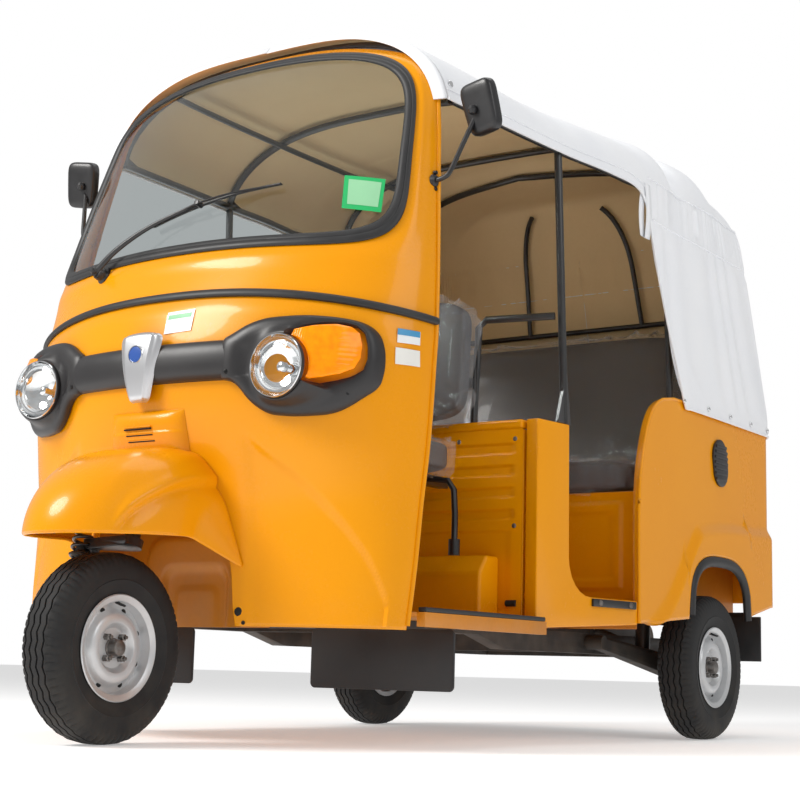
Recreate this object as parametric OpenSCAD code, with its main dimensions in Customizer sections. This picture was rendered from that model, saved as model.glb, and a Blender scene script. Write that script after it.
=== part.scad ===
// Three-wheeled auto rickshaw: pressed-steel cab and tub, fabric canopy, open sides.
// Millimetres. Front towards -Y, left side +X, ground at z = 0.
// Lengths along the vehicle are counted from the front axle, positive to the rear.

/* [Overall] */
// Front axle to rear axle
wheelbase = 2090; // [1990:10:2250]
// Front axle to the tip of the mudguard
front_overhang = 225; // [210:5:270]
// Rear axle to the tail lamps
rear_overhang = 550; // [530:5:640]
// Width of the cab at the belt line
cab_w = 1300; // [1240:10:1400]
// Width over the rear tub
tub_w = 1440; // [1380:10:1540]
// Height of the top of the cab header
cab_top = 1915; // [1850:5:2000]
// Sheet thickness of the pressed panels
panel_t = 4; // [3:0.5:6]

/* [Wheels] */
// Outer radius of a tyre
tyre_r = 230; // [220:1:240]
// Width of a tyre
tyre_w = 116; // [100:1:126]
// Radius of the rim flange
rim_r = 127; // [118:1:132]
// Distance between the middle planes of the rear wheels
rear_track = 1280; // [1220:10:1300]

/* [Cab] */
// Bottom edge of the cab panels
cab_bottom = 290; // [270:5:310]
// Height of the belt moulding at the middle of the cowl
belt_z = 1122; // [1090:1:1160]
// Top of the driver's floor
floor_z = 335; // [325:1:350]
// Top of the passenger floor
step_z = 415; // [400:1:440]
// Front face of the partition
partition_y = 1030; // [1000:5:1060]
// Top of the partition
partition_z = 900; // [860:5:940]
// Rake of the steering axis from the vertical, degrees
rake = 16; // [14:0.5:18]

/* [Tub] */
// Front edge of the tub sides
tub_y = 1530; // [1500:5:1560]
// Top of the tub sides
tub_top = 1062; // [1020:2:1100]
// Height of the top of the wheel arch
arch_z = 585; // [560:5:600]
// Half length of the wheel arch
arch_half = 250; // [245:5:265]

/* [Seats] */
// Thickness of the seat cushions
cushion_t = 90; // [70:5:110]
// Half width of the driver's seat
driver_half = 410; // [360:10:430]
// Underside of the driver's seat
driver_z = 742; // [720:2:780]
// Top of the passenger seat base
bench_z = 755; // [735:5:780]

/* [Canopy] */
// Highest point of the canopy
canopy_top = 1985; // [1960:5:2060]
// Thickness of the canopy cloth
cloth_t = 4; // [3:0.5:6]
// Radius of the canopy frame tubes
tube_r = 11; // [9:0.5:13]

/* [Hidden] */
$fn = 48;
gap = 0.3;                  // clearance between pieces that only lie against each other
axle_y = front_overhang - (front_overhang + wheelbase + rear_overhang) / 2;
tail_y = wheelbase + rear_overhang;
cab_half = cab_w / 2;
tub_half = tub_w / 2;

module from_axle() translate([0, axle_y, 0]) children();
module both_sides() { children(); mirror([1, 0, 0]) children(); }
function mix(a, b, t) = a + (b - a) * t;
function unit(v) = v / norm(v);

// ---------------------------------------------------------------- surfaces

// A closed panel between two matching grids of points, (nu + 1) by (nv + 1)
module panel(a, b, nu, nv) {
  n = (nu + 1) * (nv + 1);
  function id(i, j) = i * (nv + 1) + j;
  function quad(p, q, r, s) = [[p, q, r], [p, r, s]];
  polyhedron(points = concat(a, b), faces = [
    for (i = [0:nu - 1], j = [0:nv - 1])
      each quad(id(i, j), id(i + 1, j), id(i + 1, j + 1), id(i, j + 1)),
    for (i = [0:nu - 1], j = [0:nv - 1])
      each quad(n + id(i, j), n + id(i, j + 1), n + id(i + 1, j + 1), n + id(i + 1, j)),
    for (i = [0:nu - 1]) each quad(id(i + 1, 0), id(i, 0), n + id(i, 0), n + id(i + 1, 0)),
    for (i = [0:nu - 1]) each quad(id(i, nv), id(i + 1, nv), n + id(i + 1, nv), n + id(i, nv)),
    for (j = [0:nv - 1]) each quad(id(0, j), id(0, j + 1), n + id(0, j + 1), n + id(0, j)),
    for (j = [0:nv - 1]) each quad(id(nu, j + 1), id(nu, j), n + id(nu, j), n + id(nu, j + 1))]);
}

// A closed loop of sections; every section is a list of the same length
module ring(sections) {
  m = len(sections);
  k = len(sections[0]);
  polyhedron(points = [for (s = sections) each s], faces = [
    for (i = [0:m - 1], j = [0:k - 1])
      let (p = i * k + j, q = i * k + (j + 1) % k, r = ((i + 1) % m) * k + (j + 1) % k,
           s = ((i + 1) % m) * k + j)
      each [[p, q, r], [p, r, s]]]);
}

// A round bar swept along points; side is the direction that the section starts from
function sweep_frame(p, i, up) =
  let (a = p[max(i - 1, 0)], b = p[min(i + 1, len(p) - 1)], t = unit(b - a),
       u = unit(cross(t, up)), v = cross(u, t)) [u, v];
module bar(p, r, up = [0, 0, 1], sides = 8, flat = 1) {
  n = len(p);
  rings = [for (i = [0:n - 1]) let (f = sweep_frame(p, i, up)) [for (k = [0:sides - 1])
    let (q = (k + 0.5) * 360 / sides) p[i] + r * (cos(q) * f[0] + flat * sin(q) * f[1])]];
  polyhedron(points = [for (s = rings) each s], faces = [
    [for (k = [sides - 1:-1:0]) k],
    [for (k = [0:sides - 1]) (n - 1) * sides + k],
    for (i = [0:n - 2], k = [0:sides - 1])
      let (a = i * sides + k, b = i * sides + (k + 1) % sides)
      each [[a, b, b + sides], [a, b + sides, a + sides]]]);
}

// Straight round rod between two points
module rod(a, b, r) {
  v = b - a;
  translate(a) rotate([0, acos(v[2] / norm(v)), atan2(v[1], v[0])]) cylinder(h = norm(v), r = r);
}

// ------------------------------------------------------------ cowl surface

// Cross sections of the cab shell: height, half width, front and rear edge.
// Heights are fractions: 0 bottom, 1 belt, 2 top of the header.
cowl_sections = [
  [0.00, 0.957, 168, 385], [0.19, 0.966, 170, 405], [0.37, 0.972, 160, 420],
  [0.55, 0.985, 125, 432], [0.76, 0.997, 98, 437], [0.93, 1.000, 115, 442],
  [1.00, 0.994, 137, 449], [1.16, 0.978, 192, 465], [1.48, 0.932, 302, 505],
  [1.73, 0.892, 392, 540], [1.85, 0.862, 440, 552], [1.93, 0.815, 485, 560],
  [1.98, 0.746, 540, 566], [2.00, 0.677, 572, 576]];
function level(z) = z < belt_z ? (z - cab_bottom) / (belt_z - cab_bottom)
                               : 1 + (z - belt_z) / (cab_top - belt_z);
function cowl_value(z, c) = lookup(level(z), [for (s = cowl_sections) [s[0], s[c]]]);
function cowl_half(z) = cab_half * cowl_value(z, 1);
// How far a line across the shell drops from its middle to its rear edge
function cowl_drop(z) = lookup(level(z), [[0.8, 0], [1, 64], [1.16, 30], [1.5, 40], [1.73, 55], [2, 70]]);
// Point at plan angle a, from -90 right to 90 left, on the line whose middle is at height z
function cowl(a, z, out = 0) =
  let (w = cowl_half(z) + out, yf = cowl_value(z, 2) - out, yr = cowl_value(z, 3))
  [w * sin(a), yr - (yr - yf) * cos(a), z - cowl_drop(z) * pow(abs(sin(a)), 2.5)];
// Front surface of the shell at x, height z, for what is fixed on it (below the belt)
function cowl_at(x, z, out = 0) =
  let (a = asin(max(-1, min(1, x / cowl_half(z))))) [x, cowl(a, z, out)[1], z];

// Opening over the front wheel, as height against distance from the middle
wheel_arch = [[0, 820], [70, 812], [92, 735], [130, 690], [165, 640], [195, 575], [220, 480],
  [238, 390], [247, 290]];
function cowl_foot(x) = max(cab_bottom, min(lookup(abs(x), wheel_arch), 820));

module front_cowl() {
  cols = 48;
  rows = 10;
  function pt(i, j, out) =
    let (a = mix(-90, 90, i / cols), foot = cowl_foot(cowl_half(cab_bottom) * sin(a)))
    cowl(a, mix(foot, belt_z, j / rows), out);
  color("orange") from_axle() difference() {
    panel([for (i = [0:cols], j = [0:rows]) pt(i, j, 0)],
      [for (i = [0:cols], j = [0:rows]) pt(i, j, -panel_t)], cols, rows);
    both_sides() translate([lamp_x, 0, lamp_z]) rotate([-90, 0, 0]) cylinder(h = 300, r = lamp_hole);
  }
}

// Windscreen opening: its middle height, half height and half angle
glass_mid = (belt_z + cab_top) / 2 + 44;
glass_half = (cab_top - belt_z) * 0.375;
glass_angle = 66.5;
glass_round = 5;
function squircle(p, q) =
  let (k = pow(pow(abs(p), glass_round) + pow(abs(q), glass_round), 1 / glass_round)) [p / k, q / k];
// Walks round a square of half side 1, t from 0 to 1
function square_walk(t) =
  let (s = floor(t * 4) % 4, f = 2 * (t * 4 - floor(t * 4)) - 1)
  s == 0 ? [1, f] : s == 1 ? [-f, 1] : s == 2 ? [-1, -f] : [f, -1];
function glass_edge(t, grow, out) =
  let (q = square_walk(t), h = squircle(q[0], q[1]))
  cowl(h[0] * (glass_angle + grow / 6), glass_mid + h[1] * (glass_half + grow), out);

module windscreen_frame() {
  steps = 96;
  rings = 5;
  low = belt_z + gap;
  function pt(i, j, out) =
    let (q = square_walk(i / steps), h = squircle(q[0], q[1]), t = j / rings,
         a = mix(h[0] * glass_angle, q[0] * 90, t),
         z = mix(glass_mid + h[1] * glass_half, q[1] > 0 ? mix(glass_mid, cab_top, q[1])
                                                         : mix(glass_mid, low, -q[1]), t))
    cowl(a, z, out);
  color("orange") from_axle() ring([for (i = [0:steps - 1]) concat(
    [for (j = [rings:-1:0]) pt(i, j, 0)], [for (j = [0:rings]) pt(i, j, -panel_t)])]);
}

module windscreen() {
  n = 14;
  sink = -4;
  function pt(i, j, out) =
    let (p = mix(-1, 1, i / n), q = mix(-1, 1, j / n), m = max(abs(p), abs(q)),
         h = m == 0 ? [0, 0] : m * squircle(p / m, q / m))
    cowl(h[0] * (glass_angle - 0.25), glass_mid + h[1] * (glass_half - 2), out);
  color([0.7, 0.85, 0.9, 0.4]) from_axle() panel([for (i = [0:n], j = [0:n]) pt(i, j, sink)],
    [for (i = [0:n], j = [0:n]) pt(i, j, sink - 5)], n, n);
}

module windscreen_seal() {
  steps = 96;
  lip = 16;
  seat = 2.2;
  color("#222222") from_axle() ring([for (i = [0:steps - 1]) let (t = i / steps) [
    glass_edge(t, lip, seat), glass_edge(t, lip * 0.7, 8), glass_edge(t, 0, 10),
    glass_edge(t, -lip * 0.9, 6), glass_edge(t, -lip, -2.5), glass_edge(t, -4, -2.5),
    glass_edge(t, -2, seat)]]);
}

module belt_moulding() {
  n = 40;
  m = 6;
  function pt(i, j, h) = let (q = 2 * j / m - 1)
    cowl(mix(-89, 89, i / n), belt_z + 11 * q, 1.3 + h * (2 + 10 * sqrt(1 - q * q)));
  color("#222222") from_axle() panel([for (i = [0:n], j = [0:m]) pt(i, j, 1)],
    [for (i = [0:n], j = [0:m]) pt(i, j, 0)], n, m);
}

// ------------------------------------------------------------- lamp mask

lamp_x = 405;
lamp_z = 911;
lamp_r = 76;
lamp_hole = 73;             // hole in the shell behind a lamp
mask_top = 990;
mask_foot = 888;
mask_split = 234;
mask_out = 26;
// Outline of a lamp surround as seen from the front: x, z
surround_raw = [[234, 888], [234, 989], [262, 1003], [298, 1026], [343, 1041], [433, 1046],
  [521, 1038], [562, 1028], [588, 1003], [597, 965], [596, 905], [588, 868], [556, 840],
  [527, 816], [494, 801], [419, 795], [352, 801], [311, 831], [286, 868], [262, 884]];
surround = [for (i = [0:len(surround_raw) - 1]) let (p = surround_raw[i],
  q = surround_raw[(i + 1) % len(surround_raw)]) each (norm(q - p) > 40 ? [p, (p + q) / 2] : [p])];

module mask_bar() {
  n = 16;
  m = 4;
  function pt(i, j, out) = cowl_at(mix(-mask_split + gap, mask_split - gap, i / n),
    mix(mask_foot, mask_top, j / m), out - (out > 2 && (j == 0 || j == m) ? 10 : 0));
  color("#26262a") from_axle() panel([for (i = [0:n], j = [0:m]) pt(i, j, mask_out)],
    [for (i = [0:n], j = [0:m]) pt(i, j, 1.4)], n, m);
}

module lamp_surround() {
  n = len(surround);
  seat = 4.1;
  c = [lamp_x, lamp_z];
  function on(p, out) = cowl_at(p[0], p[1], out);
  function edge(p, r) = c + r * unit(p - c);
  ring([for (i = [n - 1:-1:0]) let (p = surround[i], q = mix(p, c, 0.12), d = edge(p, lamp_r + 26),
      e = edge(p, lamp_r)) [
    on(p, seat), on(p, mask_out - 8), on(q, mask_out), on(d, mask_out - 4), on(e, 10), on(e, seat),
    on(d, seat), on(mix(p, d, 0.5), seat)]]);
}
module lamp_surrounds() color("#26262a") from_axle() both_sides() lamp_surround();

module headlamps() color("#dfe4e6") from_axle() both_sides()
  translate([lamp_x, cowl_at(lamp_x - lamp_r, lamp_z, 30)[1], lamp_z]) rotate([-90, 0, 0])
    rotate_extrude() polygon([[0, -14], [20, -13], [40, -10], [60, -4], [lamp_r - 0.5, 4],
      [lamp_r - 0.5, 12], [lamp_hole - 0.4, 14], [lamp_hole - 0.4, 96], [0, 96]]);

module indicator() {
  n = 6;
  m = 4;
  function pt(i, j, out) = let (z = mix(-52, 58, j / m))
    cowl_at(mix(lamp_x + 86 - 10 * cos(z), 566, i / n), lamp_z + 34 + z * mix(1, 0.85, i / n), out);
  panel([for (i = [0:n], j = [0:m]) pt(i, j, mask_out + 8)],
    [for (i = [0:n], j = [0:m]) pt(i, j, mask_out + gap)], n, m);
}
module indicators() color("#ff8c00") from_axle() both_sides() indicator();

module nose_plate() {
  n = 6;
  m = 8;
  half = [[0, 34], [0.3, 50], [0.8, 68], [0.93, 66], [1, 50]];
  function pt(i, j, out) = let (w = lookup(j / m, half))
    cowl_at(mix(-w, w, i / n), mix(842, 1016, j / m), out);
  color("#c9ccd0") from_axle() panel([for (i = [0:n], j = [0:m]) pt(i, j, mask_out + 14)],
    [for (i = [0:n], j = [0:m]) pt(i, j, mask_out + 0.8)], n, m);
}

// -------------------------------------------------------------- mudguard

guard_low = 492;            // height of the lower rim at the tip
guard_half = 205;           // half width of the rim beside the wheel
guard_side = 78;            // where the rim is widest
guard_foot = cowl_at(265, 437, 4);
// Rim in plan: u from 0 at the tip to 1 at the rear foot
function guard_rim(u) =
  let (q = min(1, u / 0.75) * 90, f = max(0, (u - 0.75) / 0.25),
       x = guard_half * sin(q), y = guard_side - (guard_side + front_overhang) * pow(cos(q), 0.95),
       z = lookup(y, [[-front_overhang, guard_low], [50, guard_low + 10], [guard_side, 498]]))
  mix([x, y, z], guard_foot, f);
// Root on the cowl, x and z
function guard_root(u) =
  let (x = lookup(u, [[0, 0], [0.3, 100], [0.5, 156], [0.62, 184], [0.75, 214], [0.88, 241], [1, 265]]),
       z = lookup(u, [[0, 722], [0.3, 720], [0.5, 706], [0.62, 672], [0.75, 596], [0.88, 510], [1, 437]]))
  cowl_at(x, z, 4 + 26 * max(0, min(1, (130 - x) / 25)));
// Point of the nose: u across from -1 to 1, v from the rim to the root, t inwards
function guard(u, v, t) =
  let (a = guard_rim(abs(u)), b = guard_root(abs(u)), h = 1 - cos(90 * v), k = pow(sin(90 * v), 1.1),
       p = [mix(a[0], b[0], h), mix(a[1], b[1], h), mix(a[2], b[2], k)],
       d = t * unit([p[0], min(0, p[1] - guard_side), 0.5 + 1.2 * (p[2] - a[2])]))
  [(u < 0 ? -1 : 1) * max(0, p[0] - d[0]), p[1] - d[1], p[2] - d[2]];
neck_half = 125;
neck_low = 730;
neck_top = 822;
module front_mudguard() {
  n = 28;
  m = 9;
  k = 8;
  function neck(i, j, t) = cowl_at(mix(-neck_half, neck_half, i / k), mix(neck_low, neck_top, j / k),
    gap + t + (i == 0 || i == k || j == k ? 0 : 26));
  color("orange") from_axle() {
    panel([for (i = [0:n], j = [0:m]) guard(mix(-1, 1, i / n), j / m * 0.98, 0)],
      [for (i = [0:n], j = [0:m]) guard(mix(-1, 1, i / n), j / m * 0.98, panel_t)], n, m);
    panel([for (i = [0:k], j = [0:k]) neck(i, j, panel_t)],
      [for (i = [0:k], j = [0:k]) neck(i, j, 0)], k, k);
  }
}

// Pressed housing behind the front wheel
well_half = 255;
well_front = 215;
well_back = 335;
well_top = 640;
module wheel_well() color("darkorange") from_axle() difference() {
  translate([-well_half, well_front, cab_bottom])
    cube([2 * well_half, well_back - well_front, well_top - cab_bottom]);
  translate([-well_half + panel_t, well_front - 1, cab_bottom - 1])
    cube([2 * (well_half - panel_t), well_back - well_front - panel_t + 1,
      well_top - cab_bottom - panel_t + 1]);
}

// ------------------------------------------------------- wiper and mirrors

// Point over the shell at distance x from the middle, on the line of height z
function over_shell(x, z, out) = cowl(asin(x / cowl_half(z)), z, out);
module wiper() color("#1c1c1c") from_axle() {
  rod(over_shell(-272, 1232, 5), over_shell(-272, 1232, 40), 11);
  bar([over_shell(-272, 1232, 34), over_shell(-205, 1290, 36), over_shell(-120, 1345, 30),
    over_shell(-40, 1388, 24)], 6);
  bar([for (i = [0:8]) over_shell(mix(-172, 190, i / 8), mix(1338, 1462, i / 8) + 14 * sin(i * 22.5), 13)],
    5);
  rod(over_shell(-40, 1388, 24), over_shell(-20, 1404, 13), 5);
}

mirror_foot = [608.5, 486, 1440];
mirror_head = [712, 545, 1652];
module mirror_unit() {
  elbow = mirror_foot + [38, 4, 10];
  knee = mirror_head - [14, 4, 30];
  rod(mirror_foot, elbow, 7);
  translate(elbow) sphere(r = 7.5);
  rod(elbow, knee, 7);
  translate(mirror_head) rotate([12, -8, -8]) hull() for (x = [-1, 1], z = [-1, 1])
    translate([x * (z > 0 ? 46 : 38), 0, z * 62]) rotate([90, 0, 0])
      cylinder(h = 44, r1 = 18, r2 = 8, center = true, $fn = 24);
}
module mirrors() color("#222226") from_axle() both_sides() mirror_unit();

module dashboard() color("#2b2b2e") from_axle() translate([0, 0, 1150])
  linear_extrude(height = 40) polygon([for (x = [-480:40:480]) [x, over_shell(x, 1210, -8.2)[1]],
    [470, 410], [-470, 410]]);

// ------------------------------------------------------ chassis and floor

// Steering axis: point at height z
steer_500 = 80;             // its distance behind the front axle at height 500
column_r = 20;
head_r = 32;
function steer_at(z) = [0, steer_500 + (z - 500) * tan(rake), z];

rail_x = 400;
rail_w = 50;
rail_low = 262;
rail_nose = 300;            // underside of the shallow front part of the rails
floor_t = 10;
rail_top = floor_z - floor_t - gap;
rail_front = 572.3;
rail_back = tail_y - 120;
head_low = 880;
head_top = 1010;
module chassis_frame() color("#1a1a1a") from_axle() difference() {
  union() {
    both_sides() translate([rail_x - rail_w / 2, 0, 0]) rotate([90, 0, 90])
      linear_extrude(height = rail_w) polygon([[rail_front, rail_nose], [partition_y + 20, rail_nose],
        [partition_y + 170, rail_low], [rail_back, rail_low], [rail_back, rail_top], [rail_front, rail_top]]);
    for (y = [rail_front + 30, partition_y - 30])
      translate([-rail_x, y, rail_nose]) cube([2 * rail_x, 50, rail_top - rail_nose]);
    for (y = [tub_y - 30, rail_back - 70])
      translate([-rail_x, y, rail_low]) cube([2 * rail_x, 50, 50]);
    // Steering head tube and the bracket that ties it to the wheel housing
    rod(steer_at(head_low), steer_at(head_top), head_r);
    translate([-30, well_back + gap, floor_z + 40]) cube([60, 12, head_low - floor_z + 24]);
    translate([-30, steer_at(head_low)[1] + 24, head_low + 20])
      cube([60, well_back + 6 - steer_at(head_low)[1] - 24, 44]);
  }
  rod(steer_at(head_low - 60), steer_at(head_top + 60), column_r + 1.5);
  both_sides() rod(shaft_in, shaft_out, 22);
}

module floor_pan() color("orange") from_axle() {
  front = [for (x = [600:-40:280]) [x, cowl_at(x, cab_bottom + 30)[1] + 24]];
  n = len(front) - 1;
  back = partition_y + part_t + gap;
  translate([0, 0, floor_z - floor_t]) linear_extrude(height = floor_t) polygon(concat(
    [[-well_half - 4, well_back + 1], [well_half + 4, well_back + 1]],
    [for (i = [n:-1:0]) front[i]],
    [[612, 400], [cab_half - 22, 420], [cab_half - 22, partition_y], [part_half + 3, partition_y],
     [part_half + 3, back + 8], [-part_half - 3, back + 8], [-part_half - 3, partition_y],
     [-cab_half + 22, partition_y], [-cab_half + 22, 420], [-612, 400]],
    [for (p = front) [-p[0], p[1]]]));
  // Passenger floor and the step up to it
  wide = part_half + 3 + (riser_y - back) * tan(post_angle);
  translate([0, 0, step_z - floor_t]) linear_extrude(height = floor_t)
    polygon([[-part_half - 3, back], [part_half + 3, back], [wide, riser_y - gap], [-wide, riser_y - gap]]);
  translate([-part_half - 3, back, floor_z - floor_t])
    cube([2 * part_half + 6, 8, step_z - floor_z + floor_t]);
  // Sills under the driver's entrances
  both_sides() translate([cab_half - 22, 420, 300]) cube([24, partition_y - 420, floor_z - 300]);
}

module entry_edging() color("#1c1c1c") from_axle() both_sides()
  translate([cab_half - 22, 425, floor_z + gap]) cube([24, partition_y - 430, 12]);

// ------------------------------------------------------ partition and posts

part_t = 28;
part_half = 570;
module partition() color("orange") from_axle() difference() {
  union() {
    translate([-part_half, partition_y, floor_z + gap])
      cube([2 * part_half, part_t, partition_z - floor_z - 26]);
    translate([-part_half, partition_y - 6, partition_z - 26])
      cube([2 * part_half, part_t + 12, 26]);
  }
  for (i = [0:3]) translate([-part_half + 30, partition_y - 1, 620 + 62 * i])
    cube([2 * part_half - 60, 7, 26]);
}

box_half = 500;
box_y = 925;
box_top = 515;
module seat_box() color("orange") from_axle() translate([-box_half, 0, 0]) rotate([90, 0, 90])
  linear_extrude(height = 2 * box_half) polygon([[box_y, floor_z + gap],
    [box_y, box_top - 50], [box_y + 40, box_top], [partition_y - gap, box_top],
    [partition_y - gap, floor_z + gap]]);

post_angle = 8;
post_t = 42;
post_len = 500;
module entry_post() translate([618, partition_y + gap, 0]) rotate([0, 0, -post_angle])
  rotate([90, 0, 90]) translate([0, 0, -post_t]) linear_extrude(height = post_t)
    polygon(concat([[0, 318], [0, partition_z], [150, partition_z], [154, step_z + 130]],
      [for (a = [0:15:90]) [262 - 108 * cos(a), step_z + 108 - 108 * sin(a)]],
      [[post_len, step_z], [post_len, 345]]));
module entry_posts() color("orange") from_axle() both_sides() entry_post();

module step_plates() color("#1c1c1c") from_axle() both_sides()
  translate([618, partition_y, 0]) rotate([0, 0, -post_angle])
    translate([gap, 262, step_z - 26]) cube([8, 220, 22]);

// -------------------------------------------------------------------- tub

tub_r = 85;                 // corner radius at the back, in plan
tub_back_y = tail_y - 32;
wall_t = 24;
function tub_front(z) = lookup(z, [[step_z, tub_y], [750, tub_y + 2], [900, tub_y + 36],
  [1000, tub_y + 90], [tub_top - 12, tub_y + 170], [tub_top, tub_y + 250]]);
function tub_foot(y) = let (d = abs(y - wheelbase) / arch_half)
  d < 1 ? mix(395, arch_z, pow(1 - pow(d, 3), 1 / 2.6))
        : lookup(y, [[tub_y, 350], [wheelbase - arch_half, 376], [wheelbase + arch_half, 405],
          [tub_back_y, 460]]);
// Swell of the side over the wheel arch
function swell(y, z) = let (line = lookup(y, [[tub_y, 300], [1720, 420], [1850, 560], [1960, 660],
  [tub_back_y, 700]])) 22 * max(0, min(1, (line - z) / 40 + 0.5));
// Point of the side; u runs from the front edge, round the rear corner
function tub_side(u, s, t) =
  let (yn = mix(tub_y, tub_back_y - tub_r, min(1, u / 0.85)), a = max(0, (u - 0.85) / 0.15) * 90,
       z = mix(tub_foot(yn), tub_top, s), f = 1 - min(1, u / 0.85),
       y = yn + (tub_front(z) - tub_y) * f * f, r = tub_r - t,
       x = mix(692, tub_half - 22, min(1, u / 0.85)) + swell(y, z) * (1 - a / 90))
  [x - tub_r + r * cos(a), y + r * sin(a), z];
module tub_side_panel() {
  n = 36;
  m = 10;
  panel([for (i = [0:n], j = [0:m]) tub_side(i / n, j / m, wall_t)],
    [for (i = [0:n], j = [0:m]) tub_side(i / n, j / m, 0)], n, m);
}
module tub_side_left() color("orange") from_axle() tub_side_panel();
module tub_side_right() color("orange") from_axle() mirror([1, 0, 0]) tub_side_panel();

plate_x = 520;              // two holes beside the hatch for a plate or lamp bracket
plate_z = 620;
plate_span = 120;
plate_hole = 3.5;
hatch_half = 420;
hatch_low = 500;
hatch_top = 990;
hinge_y = tub_back_y + 12;
hinge_z = hatch_top + 8;
back_half = tub_half - 22 - tub_r - gap;
module tub_back() color("orange") from_axle() {
  difference() {
    translate([-back_half, tub_back_y - wall_t, 460]) cube([2 * back_half, wall_t, tub_top - 460]);
    translate([-hatch_half - 6, tub_back_y - wall_t - 1, hatch_low - 6])
      cube([2 * hatch_half + 12, wall_t + 2, hatch_top - hatch_low + 12]);
    for (x = [-1, 1]) translate([plate_x + x * plate_span / 2, tub_back_y - wall_t - 1, plate_z])
      rotate([-90, 0, 0]) cylinder(h = wall_t + 2, r = plate_hole);
  }
  // Fixed knuckles of the hatch hinges
  for (x = [-300, 260]) translate([x, hinge_y, hinge_z]) {
    rotate([0, 90, 0]) cylinder(h = 40, r = 7);
    translate([0, -12, 2]) cube([40, 12, 20]);
  }
}

module engine_hatch() color("orange") from_axle() {
  translate([-hatch_half, tub_back_y - 6, hatch_low])
    cube([2 * hatch_half, 10, hatch_top - hatch_low - 6]);
  for (x = [-259.5, 300.5]) translate([x, hinge_y, hinge_z]) {
    rotate([0, 90, 0]) cylinder(h = 38, r = 7);
    translate([0, -10, -40]) cube([38, 10, 38]);
  }
  translate([-40, tub_back_y + 3, hatch_low + 30]) cube([80, 14, 22]);
}

riser_y = tub_y + 75;
deck_x = 645;
house_x = 548;
module seat_base() color("orange") from_axle() {
  translate([-deck_x, riser_y, floor_z]) cube([2 * deck_x, panel_t, bench_z - floor_z]);
  back = tub_back_y - wall_t - gap;
  translate([0, 0, bench_z - 16]) linear_extrude(height = 16) polygon([[-deck_x, riser_y],
    [deck_x, riser_y], [deck_x, back - 110], [deck_x - 60, back], [60 - deck_x, back],
    [-deck_x, back - 110]]);
  both_sides() translate([house_x, riser_y, 360])
    cube([panel_t, back - riser_y, bench_z - 360]);
}

module arch_trims() color("#26262a") from_axle() both_sides() {
  n = 24;
  bar([for (i = [0:n]) let (d = mix(-1, 1, i / n), k = abs(mix(-1, 1, i / n)))
    [709, wheelbase + d * (arch_half - 17.5), mix(392, arch_z - 17, pow(1 - pow(k, 3), 1 / 2.6))]],
    13, up = [1, 0, 0]);
}

vent_y = 2125;
vent_z = 898;
module side_vents() color("#161616") from_axle() both_sides()
  translate([tub_half - 23.8, vent_y, vent_z]) rotate([0, 90, 0]) {
    hull() for (s = [-1, 1]) translate([s * 22, s * 4, 0]) cylinder(h = 6, r = 56);
    for (i = [-3:3]) translate([i * 18, 0, 7]) cube([9, 2 * sqrt(2600 - pow(i * 10, 2)), 6], center = true);
  }

module tail_lamps() color("#8c1410") from_axle() both_sides()
  translate([back_half - 58, tub_back_y + gap, 860]) cube([56, tail_y - tub_back_y - gap, 150]);

module mudflaps() color("#1a1a1a") from_axle() both_sides() {
  hull() for (x = [218, 632], z = [158, 284]) translate([x, 572, z]) rotate([90, 0, 0])
    cylinder(h = 8, r = 14, $fn = 24);
  translate([rail_x - rail_w / 2, 564, 280]) cube([rail_w, 8, rail_nose - 268]);
  translate([596, wheelbase + 312, 255]) cube([128, 8, 150]);
  translate([house_x + panel_t + gap, wheelbase + 320 + gap, 380]) cube([120, 12, 40]);
}

// ------------------------------------------------------------------ seats

// Cushion with rounded long edges
module cushion(half, front, back, low, t) translate([-half, 0, 0]) rotate([90, 0, 90])
  linear_extrude(height = 2 * half) hull() {
    translate([front + t * 0.4, low + t * 0.4]) circle(r = t * 0.4);
    translate([front + t * 0.4, low + t * 0.6]) circle(r = t * 0.4);
    translate([back - 20, low + 20]) circle(r = 20);
    translate([back - 20, low + t - 20]) circle(r = 20);
  }
module driver_seat() color("#2f2f33") from_axle() cushion(driver_half, 560, 960, driver_z, cushion_t);

// Backrest that leans back from its foot
module backrest(half, foot_y, foot_z, h, t, lean)
  translate([0, foot_y, foot_z + t / 2 * (1 - cos(lean) + sin(lean))]) rotate([-lean, 0, 0])
  translate([-half, 0, 0]) rotate([90, 0, 90]) linear_extrude(height = 2 * half) hull() {
    translate([t / 2, t / 2]) circle(r = t / 2);
    translate([t / 2, h - t / 2]) circle(r = t / 2);
  }
driver_back_y = partition_y - 84;
driver_back_t = 70;
module driver_backrest() color("#2f2f33") from_axle()
  backrest(driver_half, driver_back_y, driver_z + cushion_t + 56, 360, driver_back_t, 5);

bench_front = tub_y + 50;
module passenger_seat() color("#2f2f33") from_axle()
  cushion(620, bench_front, bench_front + 450, bench_z + gap, cushion_t + 14);
module passenger_backrest() color("#2f2f33") from_axle()
  backrest(620, bench_front + 455, bench_z + gap, 620, 90, 12);

frame_x = 400;
arm_z = 1205;
module seat_frame() color("#1a1a1a") from_axle() both_sides() {
  bar([[frame_x, partition_y + 14, partition_z + 1.1], [frame_x, partition_y + 33, arm_z - 22],
    [frame_x + 22, partition_y + 38, arm_z], [post_x - tube_r - 1, post_y - 4, arm_z + 4]], tube_r);
  // Brackets that hold the backrest
  translate([frame_x - 60, partition_y - 1, 1000]) cube([60, 33, 30]);
  // Legs and rail under the driver's cushion
  translate([300, 600, floor_z + gap]) cube([30, 30, driver_z - 2 * gap - floor_z]);
  translate([300, 600, driver_z - 30 - gap]) cube([30, partition_y - 6.3 - 600, 30]);
}

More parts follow.
